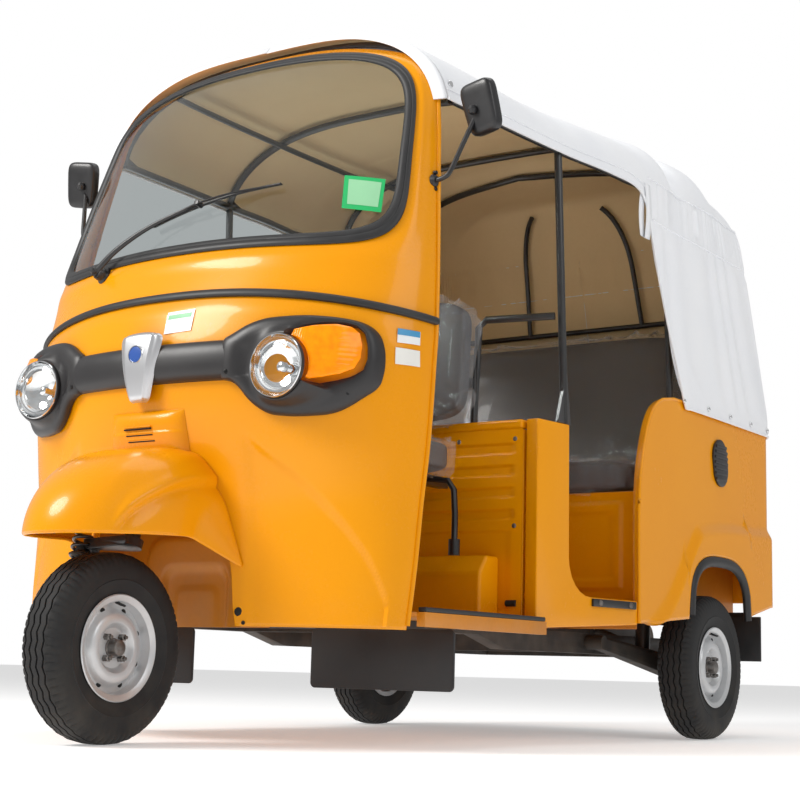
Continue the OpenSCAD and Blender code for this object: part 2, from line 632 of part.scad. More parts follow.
module hand_lever() color("#161616") from_axle() {
  bar([[331, 900, driver_z - 15], [405, 905, driver_z - 24], [424, 905, driver_z - 50],
    [432, 900, driver_z - 120], [434, 896, driver_z - 190]], 9, up = [0, 1, 0]);
  translate([434, 896, driver_z - 232]) cylinder(h = 44, r = 16);
}

// ----------------------------------------------------------------- canopy

function smooth(t) = let (c = max(0, min(1, t))) c * c * (3 - 2 * c);
// Height of the ridge along the canopy
function ridge(y) = canopy_top - lookup(y, [[500, 46], [770, 50], [1220, 38], [1590, 18], [1840, 0],
  [2100, 3], [2300, 22], [tail_y, 55]]);
canopy_front = 548;
hem_z = 1040;
hem_out = cloth_t + 1.5;    // outer face of the hem from the face of the tub
hem_back = tub_back_y + hem_out;
hem_half = tub_half - 22 + hem_out;
canopy_r = tub_r + hem_out;
curtain = [1640, 1740, 1790, 1840, 1875, 1890];
function canopy_lean(z) = lookup(z, [[tub_top + 28, 0], [1600, 125], [1800, 185], [canopy_top, 250]]);
// Plan at the hem: s from 0 at the left front to 1 at the middle of the back
function canopy_plan(s) =
  s < 0.7 ? let (y = mix(canopy_front, hem_back - canopy_r, s / 0.7))
      [lookup(y, [[canopy_front, 604], [1100, 636], [1660, 684], [1900, hem_half], [tail_y, hem_half]]), y, 0]
  : s < 0.88 ? let (a = (s - 0.7) / 0.18 * 90)
      [hem_half - canopy_r * (1 - cos(a)), hem_back - canopy_r * (1 - sin(a)), a]
  : [(hem_half - canopy_r) * (1 - s) / 0.12, hem_back, 90];
// Lower edge: valance over the entrances, front edge of the rear curtain, hem
function canopy_edge(y) = lookup(y, [[canopy_front, 1682], [1150, 1692], [curtain[0], 1712],
  [curtain[1], 1650], [curtain[2], 1520], [curtain[3], 1380], [curtain[4], 1180], [curtain[5], hem_z]]);
shoulder_at = 0.45;         // share of a section that is wall, before it turns over the shoulder
function canopy(s, t, inset) =
  let (p = canopy_plan(s), edge = s < 0.7 ? canopy_edge(p[1]) : hem_z, r = ridge(min(p[1], 2420)),
       wall = max(edge + 8, r - 255), k = max(0, (t - shoulder_at) / (1 - shoulder_at)) * 90,
       square = smooth((p[1] - 1450) / 350),
       z = k > 0 ? mix(wall, r, pow(sin(k), mix(1.18, 0.9, square))) : mix(edge, wall, pow(t / shoulder_at, 1.6)),
       back = canopy_lean(z) * smooth((p[1] - 1900) / 600),
       inward = 1 - pow(cos(k), mix(0.62, 0.52, square)),
       side = p[0] - inset - 42 * max(0, z - tub_top - 28) / 650 * smooth((p[1] - 1500) / 400),
       y = p[1] - back - inset * sin(p[2]), spine = y < 1800 ? y : 1800 + 520 * (s - spine_s) / (1 - spine_s))
  [side * (1 - inward), mix(y, spine, inward), z - inset * sin(k)];
spine_s = 0.7 * (1800 - canopy_front) / (hem_back - canopy_r - canopy_front);
module canopy_sheet() {
  half = 36;
  n = 2 * half;
  m = 13;
  count = (n + 1) * m + half + 1;
  function id(i, j) = j < m ? i * m + j : (n + 1) * m + min(i, n - i);
  function side_pt(i, t, inset) = let (s = i / half, p = canopy(s > 1 ? 2 - s : s, t, inset))
    [s > 1 ? -p[0] : p[0], p[1], p[2]];
  function cloth(inset) = concat([for (i = [0:n], j = [0:m - 1]) side_pt(i, j / m, inset)],
    [for (i = [0:half]) let (p = side_pt(i, 1, inset)) [0, p[1], p[2]]]);
  loop = concat([for (i = [0:n]) id(i, 0)], [for (j = [1:m]) id(n, j)], [for (j = [m - 1:-1:1]) id(0, j)]);
  faces = [for (i = [0:n - 1], j = [0:m - 1]) let (a = id(i, j), b = id(i + 1, j), c = id(i + 1, j + 1), d = id(i, j + 1))
    each (a == b || b == c ? [[a, c, d]] : c == d ? [[a, b, c]] : [[a, b, c], [a, c, d]])];
  k = len(loop);
  polyhedron(points = concat(cloth(0), cloth(cloth_t)), faces = concat(faces,
    [for (f = faces) [f[2] + count, f[1] + count, f[0] + count]],
    [for (i = [0:k - 1]) let (a = loop[i], b = loop[(i + 1) % k])
      each [[b, a, a + count], [b, a + count, b + count]]]));
}

// Tube frame that carries the canopy
post_x = 628;
post_y = 1128;
rear_post_x = 648;
rear_post_y = 1815;
frame_sink = 17;            // how far the tubes lie inside the cloth
bow_z = 1690;
// Section of the frame at plan position s, following the cloth from the rail to the ridge
function frame_s(y) = 0.7 * (y - canopy_front) / (hem_back - canopy_r - canopy_front);
function bow_at(y, t) = canopy(frame_s(y), mix(shoulder_at, 1, t), frame_sink);
module bow(y) {
  n = 9;
  bar(concat([for (i = [0:n]) bow_at(y, i / n)],
    [for (i = [n - 1:-1:0]) let (p = bow_at(y, i / n)) [-p[0], p[1], p[2]]]), tube_r, up = [0, 1, 0]);
}
module canopy_frame() color("#161616") from_axle() {
  for (y = [canopy_front + 40, post_y, rear_post_y, 2330]) bow(y);
  both_sides() {
    rail = [for (i = [0:14]) bow_at(mix(canopy_front + 40, 2330, i / 14), 0.02)];
    bar(rail, tube_r);
    spine = [for (i = [0:10]) bow_at(mix(canopy_front + 40, 2330, i / 10), 0.66)];
    bar(spine, tube_r - 2);
    top = bow_at(post_y, 0.02);
    rod([post_x, post_y + 38, partition_z + 1.4], top, tube_r);
    rear = bow_at(rear_post_y, 0.02);
    rod([rear_post_x + 8, rear_post_y + 10, tub_top - 60], rear, tube_r);
    // Gusset at the foot of the front post
    translate([post_x - 6, post_y + 24, partition_z + gap]) rotate([90, 0, 90])
      linear_extrude(height = 12) polygon([[-34, 0], [44, 0], [12, 150], [-2, 150]]);
  }
}

// ---------------------------------------------------- engine and running gear

hub_x = rear_track / 2;
shaft_in = [236, wheelbase + 60, 345];
shaft_out = [hub_x - 94, wheelbase, tyre_r];
module engine() color("#2a2a2c") from_axle() translate([-230, wheelbase + 10, floor_z - floor_t])
  cube([460, 390, 275]);

arm_pivot_y = wheelbase - 380;
module rear_arms() color("#1a1a1a") from_axle() both_sides() {
  translate([rail_x + rail_w / 2 + gap, arm_pivot_y, 296]) rotate([0, 90, 0]) cylinder(h = 60, r = 22);
  hull() {
    translate([rail_x + rail_w / 2 + 24, arm_pivot_y, 296]) rotate([0, 90, 0]) cylinder(h = 30, r = 20, $fn = 32);
    translate([hub_x - 136, wheelbase, tyre_r]) rotate([0, 90, 0]) cylinder(h = 44, r = 34, $fn = 32);
  }
  // Drum backing plate and stub
  translate([hub_x - 92, wheelbase, tyre_r]) rotate([0, 90, 0]) cylinder(h = 12, r = 92);
  translate([hub_x - 80, wheelbase, tyre_r]) rotate([0, 90, 0]) cylinder(h = 70, r = 14);
  // Drive shaft into the gearbox
  rod(shaft_in, shaft_out, 16);
}

module rear_dampers() color("#1a1a1a") from_axle() both_sides() {
  foot = [rail_x + rail_w / 2 + 42, wheelbase - 70, 271];
  head = [rail_x + rail_w / 2 + 42, wheelbase - 40, bench_z - 17];
  rod(foot, mix(foot, head, 0.55), 24);
  rod(foot, head, 10);
}

module silencer() color("#3a3a3c") from_axle() {
  translate([-150, wheelbase + 470, 330]) rotate([0, 90, 0]) cylinder(h = 380, r = 55);
  rod([0, wheelbase + 414.8, 420], [0, wheelbase + 470, 345], 18);
  rod([200, wheelbase + 470, 318], [300, wheelbase + 520, 300], 18);
}

// ------------------------------------------------------------- front wheel end

wheel_x = 0;
fork_x = -112;              // side of the single arm
module steering_column() color("#1a1a1a") from_axle() {
  rod(steer_at(500), steer_at(1072), column_r);
  for (z = [head_low - 14, head_top + 2]) rod(steer_at(z), steer_at(z + 11), head_r);
}

grip_half = 265;
bar_z = 1080;
module handlebar() color("#1c1c1c") from_axle() {
  c = steer_at(bar_z);
  rod(steer_at(1072 + gap), steer_at(1100), 30);
  both_sides() {
    bar([c + [16, 8, 10], c + [60, 40, 10], c + [110, 110, 4], c + [150, 138, -2],
      c + [185, 146, -6]], 12);
    rod(c + [180, 145, -5], c + [grip_half, 160, -9], 17);
  }
}

module fork_arm() color("#1a1a1a") from_axle() {
  crown = steer_at(488);
  // Crown under the column, leg beside the wheel and trailing link to the hub
  hull() {
    translate(crown) rotate([-rake, 0, 0]) cylinder(h = 22, r = 30, center = true, $fn = 32);
    translate([fork_x, crown[1] - 20, 486]) cylinder(h = 26, r = 22, center = true, $fn = 32);
  }
  rod([fork_x, crown[1] - 20, 486], [fork_x, 96, 250], 18);
  translate([fork_x - 16, 96, 250]) rotate([0, 90, 0]) cylinder(h = 32, r = 24);
  hull() {
    translate([fork_x - 12, 96, 250]) rotate([0, 90, 0]) cylinder(h = 24, r = 20, $fn = 32);
    translate([fork_x - 12, 0, tyre_r]) rotate([0, 90, 0]) cylinder(h = 24, r = 28, $fn = 32);
  }
  // Brake drum plate and axle
  translate([fork_x + 14, 0, tyre_r]) rotate([0, 90, 0]) cylinder(h = 12, r = 88);
  translate([fork_x, 0, tyre_r]) rotate([0, 90, 0]) cylinder(h = -fork_x + 10, r = 12);
}

module front_damper() color("#1a1a1a") from_axle() {
  foot = [fork_x - 14, -6, tyre_r + 60];
  head = [fork_x - 14, 34, 486];
  lean = -atan2(head[1] - foot[1], head[2] - foot[2]);
  rod(foot, head, 16.2);
  for (i = [0:6]) translate(mix(foot, head, 0.25 + i * 0.09)) rotate([lean, 0, 0])
    rotate_extrude() translate([22, 0]) circle(r = 5.5, $fn = 16);
  for (t = [0.16, 0.84]) translate(mix(foot, head, t)) rotate([lean, 0, 0]) cylinder(h = 6, r = 28);
}

// ------------------------------------------------------------------- wheels

seat_r = rim_r - 9;         // radius of the bead seat
module tyre_ring() rotate([0, 90, 0]) rotate_extrude($fn = 96)
  polygon([[seat_r + gap, -46], [rim_r + 8, -50], [rim_r + 34, -tyre_w / 2], [tyre_r - 36, -tyre_w / 2],
    [tyre_r - 12, -tyre_w / 2 + 10], [tyre_r, -tyre_w / 2 + 24], [tyre_r, tyre_w / 2 - 24],
    [tyre_r - 12, tyre_w / 2 - 10], [tyre_r - 36, tyre_w / 2], [rim_r + 34, tyre_w / 2],
    [rim_r + 8, 50], [seat_r + gap, 46]]);

hub_r = 15;                 // bore of the rim's hub
module rim_ring() rotate([0, 90, 0]) {
  rotate_extrude($fn = 96) polygon([[seat_r, -42], [seat_r, -46], [rim_r + 2, -50], [rim_r + 2, -54],
    [seat_r - 4, -50], [seat_r - 6, -20], [seat_r - 16, -10], [seat_r - 16, 14], [84, 20],
    [78, 34], [60, 36], [52, 22], [hub_r, 22], [hub_r, 29], [50, 29], [58, 44], [82, 42], [90, 27],
    [seat_r - 9, 22], [seat_r - 5, 50], [rim_r + 2, 54], [rim_r + 2, 50], [seat_r, 46]]);
}
module rim_nuts() {
  for (a = [45:90:315]) rotate([a, 0, 0]) translate([27, 0, 36]) rotate([0, 90, 0])
    cylinder(h = 16, r = 8);
  translate([27, 0, 0]) rotate([0, 90, 0]) difference() {
    cylinder(h = 28, r = 24);
    translate([0, 0, -1]) cylinder(h = 16, r = hub_r);
  }
}
module rim() { rim_ring(); rim_nuts(); }
module at_hub(x, y) from_axle() translate([x, y, tyre_r]) children();

module front_tyre() color("#191919") at_hub(wheel_x, 0) tyre_ring();
module front_rim() color("#b4b6b8") at_hub(wheel_x, 0) rim();
module rear_left_tyre() color("#191919") at_hub(hub_x, wheelbase) tyre_ring();
module rear_left_rim() color("#b4b6b8") at_hub(hub_x, wheelbase) rim();
module rear_right_tyre() color("#191919") at_hub(-hub_x, wheelbase) tyre_ring();
module rear_right_rim() color("#b4b6b8") at_hub(-hub_x, wheelbase) mirror([1, 0, 0]) rim();

module canopy_cover() color("#e4e6ea") from_axle() canopy_sheet();

front_cowl();
windscreen_frame();
windscreen();
windscreen_seal();
belt_moulding();
mask_bar();
lamp_surrounds();
headlamps();
indicators();
nose_plate();
front_mudguard();
wheel_well();
wiper();
mirrors();
dashboard();
chassis_frame();
floor_pan();
entry_edging();
partition();
seat_box();
seat_frame();
driver_seat();
driver_backrest();
hand_lever();
entry_posts();
tub_side_left();
tub_side_right();
tub_back();
seat_base();
passenger_seat();
passenger_backrest();
arch_trims();
side_vents();
step_plates();
tail_lamps();
mudflaps();
canopy_frame();
canopy_cover();  // canopy
engine();
rear_arms();
rear_dampers();
silencer();
engine_hatch();
steering_column();
handlebar();
fork_arm();
front_damper();
front_tyre();
front_rim();
rear_left_tyre();
rear_left_rim();
rear_right_tyre();
rear_right_rim();
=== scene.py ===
import math
import bpy
import bmesh
from mathutils import Matrix, Vector, noise


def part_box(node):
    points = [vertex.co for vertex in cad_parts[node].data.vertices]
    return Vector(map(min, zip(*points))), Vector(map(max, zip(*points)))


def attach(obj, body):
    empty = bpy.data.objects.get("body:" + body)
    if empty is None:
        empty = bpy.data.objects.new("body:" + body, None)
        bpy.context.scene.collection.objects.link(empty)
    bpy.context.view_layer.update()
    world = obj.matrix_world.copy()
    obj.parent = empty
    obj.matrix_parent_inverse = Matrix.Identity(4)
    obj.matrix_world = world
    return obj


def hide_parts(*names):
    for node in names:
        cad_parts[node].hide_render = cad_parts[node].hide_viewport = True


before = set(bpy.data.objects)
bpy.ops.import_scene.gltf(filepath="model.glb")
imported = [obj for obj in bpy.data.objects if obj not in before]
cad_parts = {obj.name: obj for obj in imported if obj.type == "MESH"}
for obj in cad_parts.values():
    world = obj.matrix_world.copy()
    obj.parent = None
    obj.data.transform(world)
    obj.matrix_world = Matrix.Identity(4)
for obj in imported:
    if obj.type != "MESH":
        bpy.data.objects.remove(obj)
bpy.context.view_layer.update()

# ---------------------------------------------------------------- studio
# A pale floor that the vehicle stands on, soft daylight from the front and
# from above, and the camera low beside the front left corner.
low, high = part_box("front_tyre")
AXLE = (low[1] + high[1]) / 2            # the front axle; lengths below count from it


def studio_light(name, where, aim, size, power, tint):
    lamp = bpy.data.lights.new(name, "AREA")
    lamp.shape, lamp.size, lamp.energy, lamp.color = "DISK", size, power, tint
    lamp_object = bpy.data.objects.new(name, lamp)
    lamp_object.location = where
    lamp_object.rotation_euler = (Vector(aim) - Vector(where)).to_track_quat("-Z", "Y").to_euler()
    bpy.context.scene.collection.objects.link(lamp_object)


CAMERA_AT = (2.817, AXLE - 2.9285, 0.1928)
yaw, tilt, roll = 2.16336, 0.16406, 0.02594
forward = Vector((math.cos(yaw) * math.cos(tilt), math.sin(yaw) * math.cos(tilt), math.sin(tilt)))
level = forward.cross(Vector((0, 0, 1))).normalized()
over = level.cross(forward)
right = level * math.cos(roll) + over * math.sin(roll)
up = over * math.cos(roll) - level * math.sin(roll)
eye = bpy.data.cameras.new("eye")
eye.sensor_width, eye.lens = 36.0, 73.63
eye.clip_end = 200
camera = bpy.data.objects.new("eye", eye)
turned = Matrix((right, up, -forward)).transposed().to_4x4()
camera.matrix_world = Matrix.Translation(CAMERA_AT) @ turned
bpy.context.scene.collection.objects.link(camera)
bpy.context.scene.camera = camera

studio_light("key", (-2.6, -5.2, 4.6), (0, -0.6, 0.9), 2.6, 330, (1.0, 0.98, 0.95))
studio_light("side", (5.5, -1.5, 4.0), (0.3, 0.2, 0.9), 3.5, 70, (1.0, 1.0, 1.0))
studio_light("top", (0.4, 0.6, 5.5), (0, 0.2, 0), 4.0, 70, (1.0, 1.0, 1.0))
# The world lights the vehicle softly, but is plain white to the camera
world = bpy.data.worlds.new("studio")
bpy.context.scene.world = world
world.use_nodes = True
sky = world.node_tree
lighting, backdrop = sky.nodes["Background"], sky.nodes.new("ShaderNodeBackground")
for shade, strength in ((lighting, 0.42), (backdrop, 1.0)):
    shade.inputs["Color"].default_value = (1.0, 1.0, 1.0, 1)
    shade.inputs["Strength"].default_value = strength
seen = sky.nodes.new("ShaderNodeLightPath")
either = sky.nodes.new("ShaderNodeMixShader")
sky.links.new(seen.outputs["Is Camera Ray"], either.inputs[0])
sky.links.new(lighting.outputs[0], either.inputs[1])
sky.links.new(backdrop.outputs[0], either.inputs[2])
sky.links.new(either.outputs[0], sky.nodes["World Output"].inputs["Surface"])
bpy.context.scene.view_settings.view_transform = "Standard"

FLOOR_HALF = 60
floor_mesh = bpy.data.meshes.new("floor")
floor_mesh.from_pydata([(FLOOR_HALF * x, FLOOR_HALF * y, 0) for x, y in
                        ((-1, -1), (1, -1), (1, 1), (-1, 1))], [], [(0, 1, 2, 3)])
floor = bpy.data.objects.new("floor", floor_mesh)
bpy.context.scene.collection.objects.link(floor)
floor_paint = bpy.data.materials.new("floor")
floor_paint.use_nodes = True
floor_shader = floor_paint.node_tree.nodes["Principled BSDF"]
for socket, value in (("Base Color", (0.92, 0.92, 0.92, 1)), ("Roughness", 0.9),
                      ("Emission Color", (1, 1, 1, 1)), ("Emission Strength", 0.32)):
    floor_shader.inputs[socket].default_value = value
floor_mesh.materials.append(floor_paint)

# ------------------------------------------------------------- cab shell
# Two pressed-steel shells in yellow-orange enamel: the lower one with the
# arch over the front wheel, the upper one round the windscreen, joined at
# the belt. Their rear edges are rolled over a wire.


def put(tree, kind, attributes=None, **sockets):
    """Adds a shader node; a socket is given by name (_ for a space) or as i0, i1 ..."""
    node = tree.nodes.new(kind)
    for key, value in (attributes or {}).items():
        setattr(node, key, value)
    for key, value in sockets.items():
        place = int(key[1:]) if key[0] == "i" and key[1:].isdigit() else key.replace("_", " ")
        if isinstance(value, bpy.types.NodeSocket):
            tree.links.new(value, node.inputs[place])
        else:
            node.inputs[place].default_value = value
    return node


def effect(name, takes, gives, build):
    """A shader node group; build(tree, inputs) returns the sockets that it gives."""
    kinds = {"colour": "NodeSocketColor", "value": "NodeSocketFloat", "vector": "NodeSocketVector"}
    tree = bpy.data.node_groups.new(name, "ShaderNodeTree")
    for label, kind, value in takes:
        socket = tree.interface.new_socket(label, in_out="INPUT", socket_type=kinds[kind])
        if value is not None:
            socket.default_value = value
    for label, kind in gives:
        tree.interface.new_socket(label, in_out="OUTPUT", socket_type=kinds[kind])
    start, end = tree.nodes.new("NodeGroupInput"), tree.nodes.new("NodeGroupOutput")
    for (label, _), socket in zip(gives, build(tree, start.outputs)):
        tree.links.new(socket, end.inputs[label])
    return tree


def build_mottle(tree, given):
    where = put(tree, "ShaderNodeTexCoord").outputs["Object"]
    broad = put(tree, "ShaderNodeTexNoise", Vector=where, Scale=given["Scale"], Detail=4.0)
    fine = put(tree, "ShaderNodeTexNoise", Vector=where, Scale=90.0, Detail=3.0)
    both = put(tree, "ShaderNodeMath", {"operation": "MULTIPLY_ADD"}, i0=fine.outputs[0], i1=0.3,
               i2=broad.outputs[0])
    share = put(tree, "ShaderNodeMapRange", Value=both.outputs[0], From_Min=0.45, From_Max=0.85)
    amount = put(tree, "ShaderNodeMath", {"operation": "MULTIPLY"}, i0=share.outputs[0],
                 i1=given["Amount"])
    colour = put(tree, "ShaderNodeMix", {"data_type": "RGBA"}, i0=amount.outputs[0],
                 i6=given["Colour"], i7=given["Second"])
    rough = put(tree, "ShaderNodeMath", {"operation": "MULTIPLY_ADD"}, i0=share.outputs[0],
                i1=given["Spread"], i2=given["Roughness"])
    return colour.outputs[2], rough.outputs[0]


mottle = effect("mottle", [("Colour", "colour", (1, 1, 1, 1)), ("Second", "colour", (0, 0, 0, 1)),
                           ("Amount", "value", 0.2), ("Scale", "value", 4.0),
                           ("Roughness", "value", 0.4), ("Spread", "value", 0.1)],
                [("Colour", "colour"), ("Roughness", "value")], build_mottle)


def build_grain(tree, given):
    where = put(tree, "ShaderNodeTexCoord").outputs["Object"]
    speck = put(tree, "ShaderNodeTexNoise", Vector=where, Scale=given["Scale"], Detail=2.0)
    cells = put(tree, "ShaderNodeTexVoronoi", Vector=where, Scale=given["Scale"])
    both = put(tree, "ShaderNodeMix", {"data_type": "FLOAT"}, i0=given["Cells"],
               i2=speck.outputs[0], i3=cells.outputs[0])
    bump = put(tree, "ShaderNodeBump", Strength=given["Strength"], Distance=0.001,
               Height=both.outputs[0])
    return [bump.outputs[0]]


grain = effect("grain", [("Scale", "value", 300.0), ("Strength", "value", 0.2),
                         ("Cells", "value", 0.0)],
               [("Normal", "vector")], build_grain)


def build_grime(tree, given):
    where = put(tree, "ShaderNodeTexCoord").outputs["Object"]
    height = put(tree, "ShaderNodeSeparateXYZ", i0=where).outputs[2]
    low_down = put(tree, "ShaderNodeMapRange", Value=height, From_Min=given["Top"], From_Max=0.0)
    spots = put(tree, "ShaderNodeTexNoise", Vector=where, Scale=14.0, Detail=6.0)
    patch = put(tree, "ShaderNodeMapRange", Value=spots.outputs[0], From_Min=0.4, From_Max=0.7)
    mask = put(tree, "ShaderNodeMath", {"operation": "MULTIPLY"}, i0=low_down.outputs[0],
               i1=patch.outputs[0])
    share = put(tree, "ShaderNodeMath", {"operation": "MULTIPLY"}, i0=mask.outputs[0],
                i1=given["Amount"])
    return [put(tree, "ShaderNodeMix", {"data_type": "RGBA"}, i0=share.outputs[0],
                i6=given["Colour"], i7=(0.30, 0.24, 0.17, 1)).outputs[2]]


grime = effect("grime", [("Colour", "colour", (1, 1, 1, 1)), ("Top", "value", 0.5),
                         ("Amount", "value", 0.3)],
               [("Colour", "colour")], build_grime)


def finish(name, colour, second, amount, scale, rough, spread, fixed=None, bump=(300, 0.1, 0.0),
           dirt=None):
    """A material from the mottle, grain and grime effects; fixed holds plain socket values."""
    made = bpy.data.materials.new(name)
    made.use_nodes = True
    tree = made.node_tree
    shader = tree.nodes["Principled BSDF"]
    mixed = put(tree, "ShaderNodeGroup", {"node_tree": mottle}, Colour=(*colour, 1),
                Second=(*second, 1), Amount=amount, Scale=scale, Roughness=rough, Spread=spread)
    shade = mixed.outputs["Colour"]
    if dirt:
        shade = put(tree, "ShaderNodeGroup", {"node_tree": grime}, Colour=shade, Top=dirt[0],
                    Amount=dirt[1]).outputs[0]
    tree.links.new(shade, shader.inputs["Base Color"])
    tree.links.new(mixed.outputs["Roughness"], shader.inputs["Roughness"])
    if bump:
        relief = put(tree, "ShaderNodeGroup", {"node_tree": grain}, Scale=float(bump[0]),
                     Strength=bump[1], Cells=bump[2])
        tree.links.new(relief.outputs[0], shader.inputs["Normal"])
    for key, value in (fixed or {}).items():
        shader.inputs[key.replace("_", " ")].default_value = value
    return made


def build(name, points, faces, material, body="body", slot=None, sharp=40, smooth=True):
    """A mesh object from points counted from the front axle, riding on a body."""
    mesh = bpy.data.meshes.new(name)
    mesh.from_pydata([(x, y + AXLE, z) for x, y, z in points], [], faces)
    mesh.validate()
    mesh.materials.append(material)
    if smooth:
        mesh.shade_smooth()
        mesh.set_sharp_from_angle(angle=math.radians(sharp))
    made = bpy.data.objects.new(name, mesh)
    bpy.context.scene.collection.objects.link(made)
    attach(made, body)
    return made


def sheet(name, at, across, along, material, body="body", slot=None, ring=False, thick=0,
          flip=False, sharp=40):
    """A curved sheet: at(u, v) for u and v from 0 to 1, closed round u if it is a ring."""
    us = across if ring else across + 1
    points = [at(i / across, j / along) for i in range(us) for j in range(along + 1)]
    faces = []
    for i in range(across):
        for j in range(along):
            a, b = i * (along + 1) + j, ((i + 1) % us) * (along + 1) + j
            faces.append((a, a + 1, b + 1, b) if flip else (a, b, b + 1, a + 1))
    made = build(name, points, faces, material, body, slot, sharp)
    if thick:
        wall = made.modifiers.new("wall", "SOLIDIFY")
        wall.thickness, wall.offset = thick, -1
    return made


def table(x, rows):
    """Values at x of a table of rows (key, value, ...), joined by smooth curves."""
    keys = [r[0] for r in rows]
    x = min(max(x, keys[0]), keys[-1])
    i = max(0, min(len(keys) - 2, next((k for k in range(len(keys) - 1) if x <= keys[k + 1]), 0)))
    t = (x - keys[i]) / (keys[i + 1] - keys[i])

    def slope(k, c):
        a, b = max(k - 1, 0), min(k + 1, len(keys) - 1)
        return (rows[b][c] - rows[a][c]) / (keys[b] - keys[a])
    span, out = keys[i + 1] - keys[i], []
    for c in range(1, len(rows[0])):
        p, q, m, n = rows[i][c], rows[i + 1][c], slope(i, c) * span, slope(i + 1, c) * span
        out.append(p + t * (m + t * (3 * (q - p) - 2 * m - n + t * (m + n - 2 * (q - p)))))
    return out if len(out) > 1 else out[0]


def ease(t):
    """A soft step from 0 at t = 0 to 1 at t = 1."""
    t = max(0.0, min(1.0, t))
    return t * t * (3 - 2 * t)


def mix(a, b, t):
    """The number or point a share t of the way from a to b."""
    if isinstance(a, (int, float)):
        return a + (b - a) * t
    return tuple(p + (q - p) * t for p, q in zip(a, b))


# Heights of the shell's foot, its joint at the belt and its top; then its
# half width as a share of HALF_WIDTH, its front and its rear edge by height
BOTTOM, BELT, TOP = 0.290, 1.122, 1.915
HALF_WIDTH = 0.65
SHELL = [(0.00, 0.957, 0.168, 0.385), (0.19, 0.966, 0.170, 0.405), (0.37, 0.972, 0.160, 0.420),
         (0.55, 0.985, 0.125, 0.432), (0.76, 0.997, 0.098, 0.437), (0.93, 1.000, 0.115, 0.442),
         (1.00, 0.994, 0.137, 0.449), (1.16, 0.978, 0.192, 0.465), (1.48, 0.932, 0.302, 0.505),
         (1.73, 0.892, 0.392, 0.540), (1.85, 0.862, 0.440, 0.552), (1.93, 0.815, 0.485, 0.560),
         (1.98, 0.746, 0.540, 0.566), (2.00, 0.677, 0.572, 0.576)]
# How far a line across the shell drops at its ends
CROWN = [(0.8, 0.0), (1.0, 0.064), (1.16, 0.030), (1.5, 0.040), (1.73, 0.055), (2.0, 0.070)]


def shell(angle, line, out=0.0):
    """Point of the cab's skin at a plan angle, on the line whose middle is that high."""
    share = (line - BOTTOM) / (BELT - BOTTOM) if line < BELT else 1 + (line - BELT) / (TOP - BELT)
    half, front, rear = table(share, SHELL)
    half, front = half * HALF_WIDTH + out, front - out
    drop = max(0.0, table(share, CROWN)) if share > 0.8 else 0.0
    s, c = math.sin(math.radians(angle)), math.cos(math.radians(angle))
    return half * s, rear - (rear - front) * c, line - drop * abs(s) ** 2.5


def shell_at(x, z, out=0.0):
    """Point of the lower shell at x and height z."""
    share = (z - BOTTOM) / (BELT - BOTTOM)
    half, front, rear = table(share, SHELL)
    half, front = half * HALF_WIDTH + out, front - out
    s = max(-1.0, min(1.0, x / half))
    return x, rear - (rear - front) * math.sqrt(1 - s * s), z


enamel = finish("orange_enamel", (0.86, 0.330, 0.0), (0.80, 0.285, 0.0), 0.5, 2.2, 0.24, 0.06,
                {"Coat_Weight": 0.22, "Coat_Roughness": 0.05, "IOR": 1.30}, (60, 0.012, 0.0),
                (0.45, 0.10))
# The opening for the front wheel: half its width, and the height there
ARCH = [(0.0, 0.820), (0.070, 0.812), (0.092, 0.735), (0.130, 0.690), (0.165, 0.640),
        (0.195, 0.575), (0.220, 0.480), (0.238, 0.390), (0.247, 0.290)]


def arch_foot(x):
    """Height of the lower shell's edge at x."""
    x = abs(x)
    if x >= ARCH[-1][0]:
        return BOTTOM
    a, b = next(p for p in zip(ARCH, ARCH[1:]) if x <= p[1][0])
    return mix(a[1], b[1], (x - a[0]) / (b[0] - a[0]))


FOOT_HALF, PRESS_DEPTH = 0.622, 0.008
PRESS_LINE = [(0.250, 0.800), (0.295, 0.741), (0.412, 0.644), (0.502, 0.546), (0.566, 0.452),
              (0.60, 0.36)]


def lower_shell(u, v):
    angle = -90 + 180 * u
    foot = arch_foot(FOOT_HALF * math.sin(math.radians(angle)))
    line = mix(foot, BELT, v)
    x, y, z = shell(angle, line)
    # The outer part below the lamps is pressed in a little
    across = abs(x)
    if 0.25 < across < 0.60 and z < 0.80:
        edge = table(across, PRESS_LINE)
        depth = PRESS_DEPTH * ease((edge - z + 0.006) / 0.013) * ease((across - 0.26) / 0.05)
        x, y, z = shell(angle, line, -depth) if z < 0.95 else (x, y, z)
    return x, y, z


STEEL = 0.0035
cowl_skin = sheet("cowl_skin", lower_shell, 180, 90, enamel, slot="cab_paint", thick=STEEL)
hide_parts("front_cowl")

# The windscreen opening: its middle, half its height, and its reach round the plan
GLASS_MID, GLASS_HALF, GLASS_ANGLE = (BELT + TOP) / 2 + 0.044, (TOP - BELT) * 0.375, 66.5


def square(t):
    """Walks round a square of half side 1."""
    side, f = int(t * 4) % 4, 2 * (t * 4 - math.floor(t * 4)) - 1
    return [(1, f), (-f, 1), (-1, -f), (f, -1)][side]


def round_off(p, q, power=5):
    """A point of a square drawn in to one with round corners."""
    k = (abs(p) ** power + abs(q) ** power) ** (1 / power)
    return p / k, q / k


def upper_shell(u, v):
    """From the edge of the windscreen opening, v = 0, out to the shell's own edge."""
    p, q = square(u)
    g, h = round_off(p, q)
    low_line = BELT + 0.0003
    angle = mix(g * GLASS_ANGLE, p * 90, v)
    outer = mix(GLASS_MID, TOP, q) if q > 0 else mix(GLASS_MID, low_line, -q)
    line = mix(GLASS_MID + h * GLASS_HALF, outer, v)
    step = 0.005 * math.exp(-((v - 0.30) / 0.14) ** 2) - 0.004 * math.exp(-(v / 0.08) ** 2)
    return shell(angle, line, step * (1 - v))


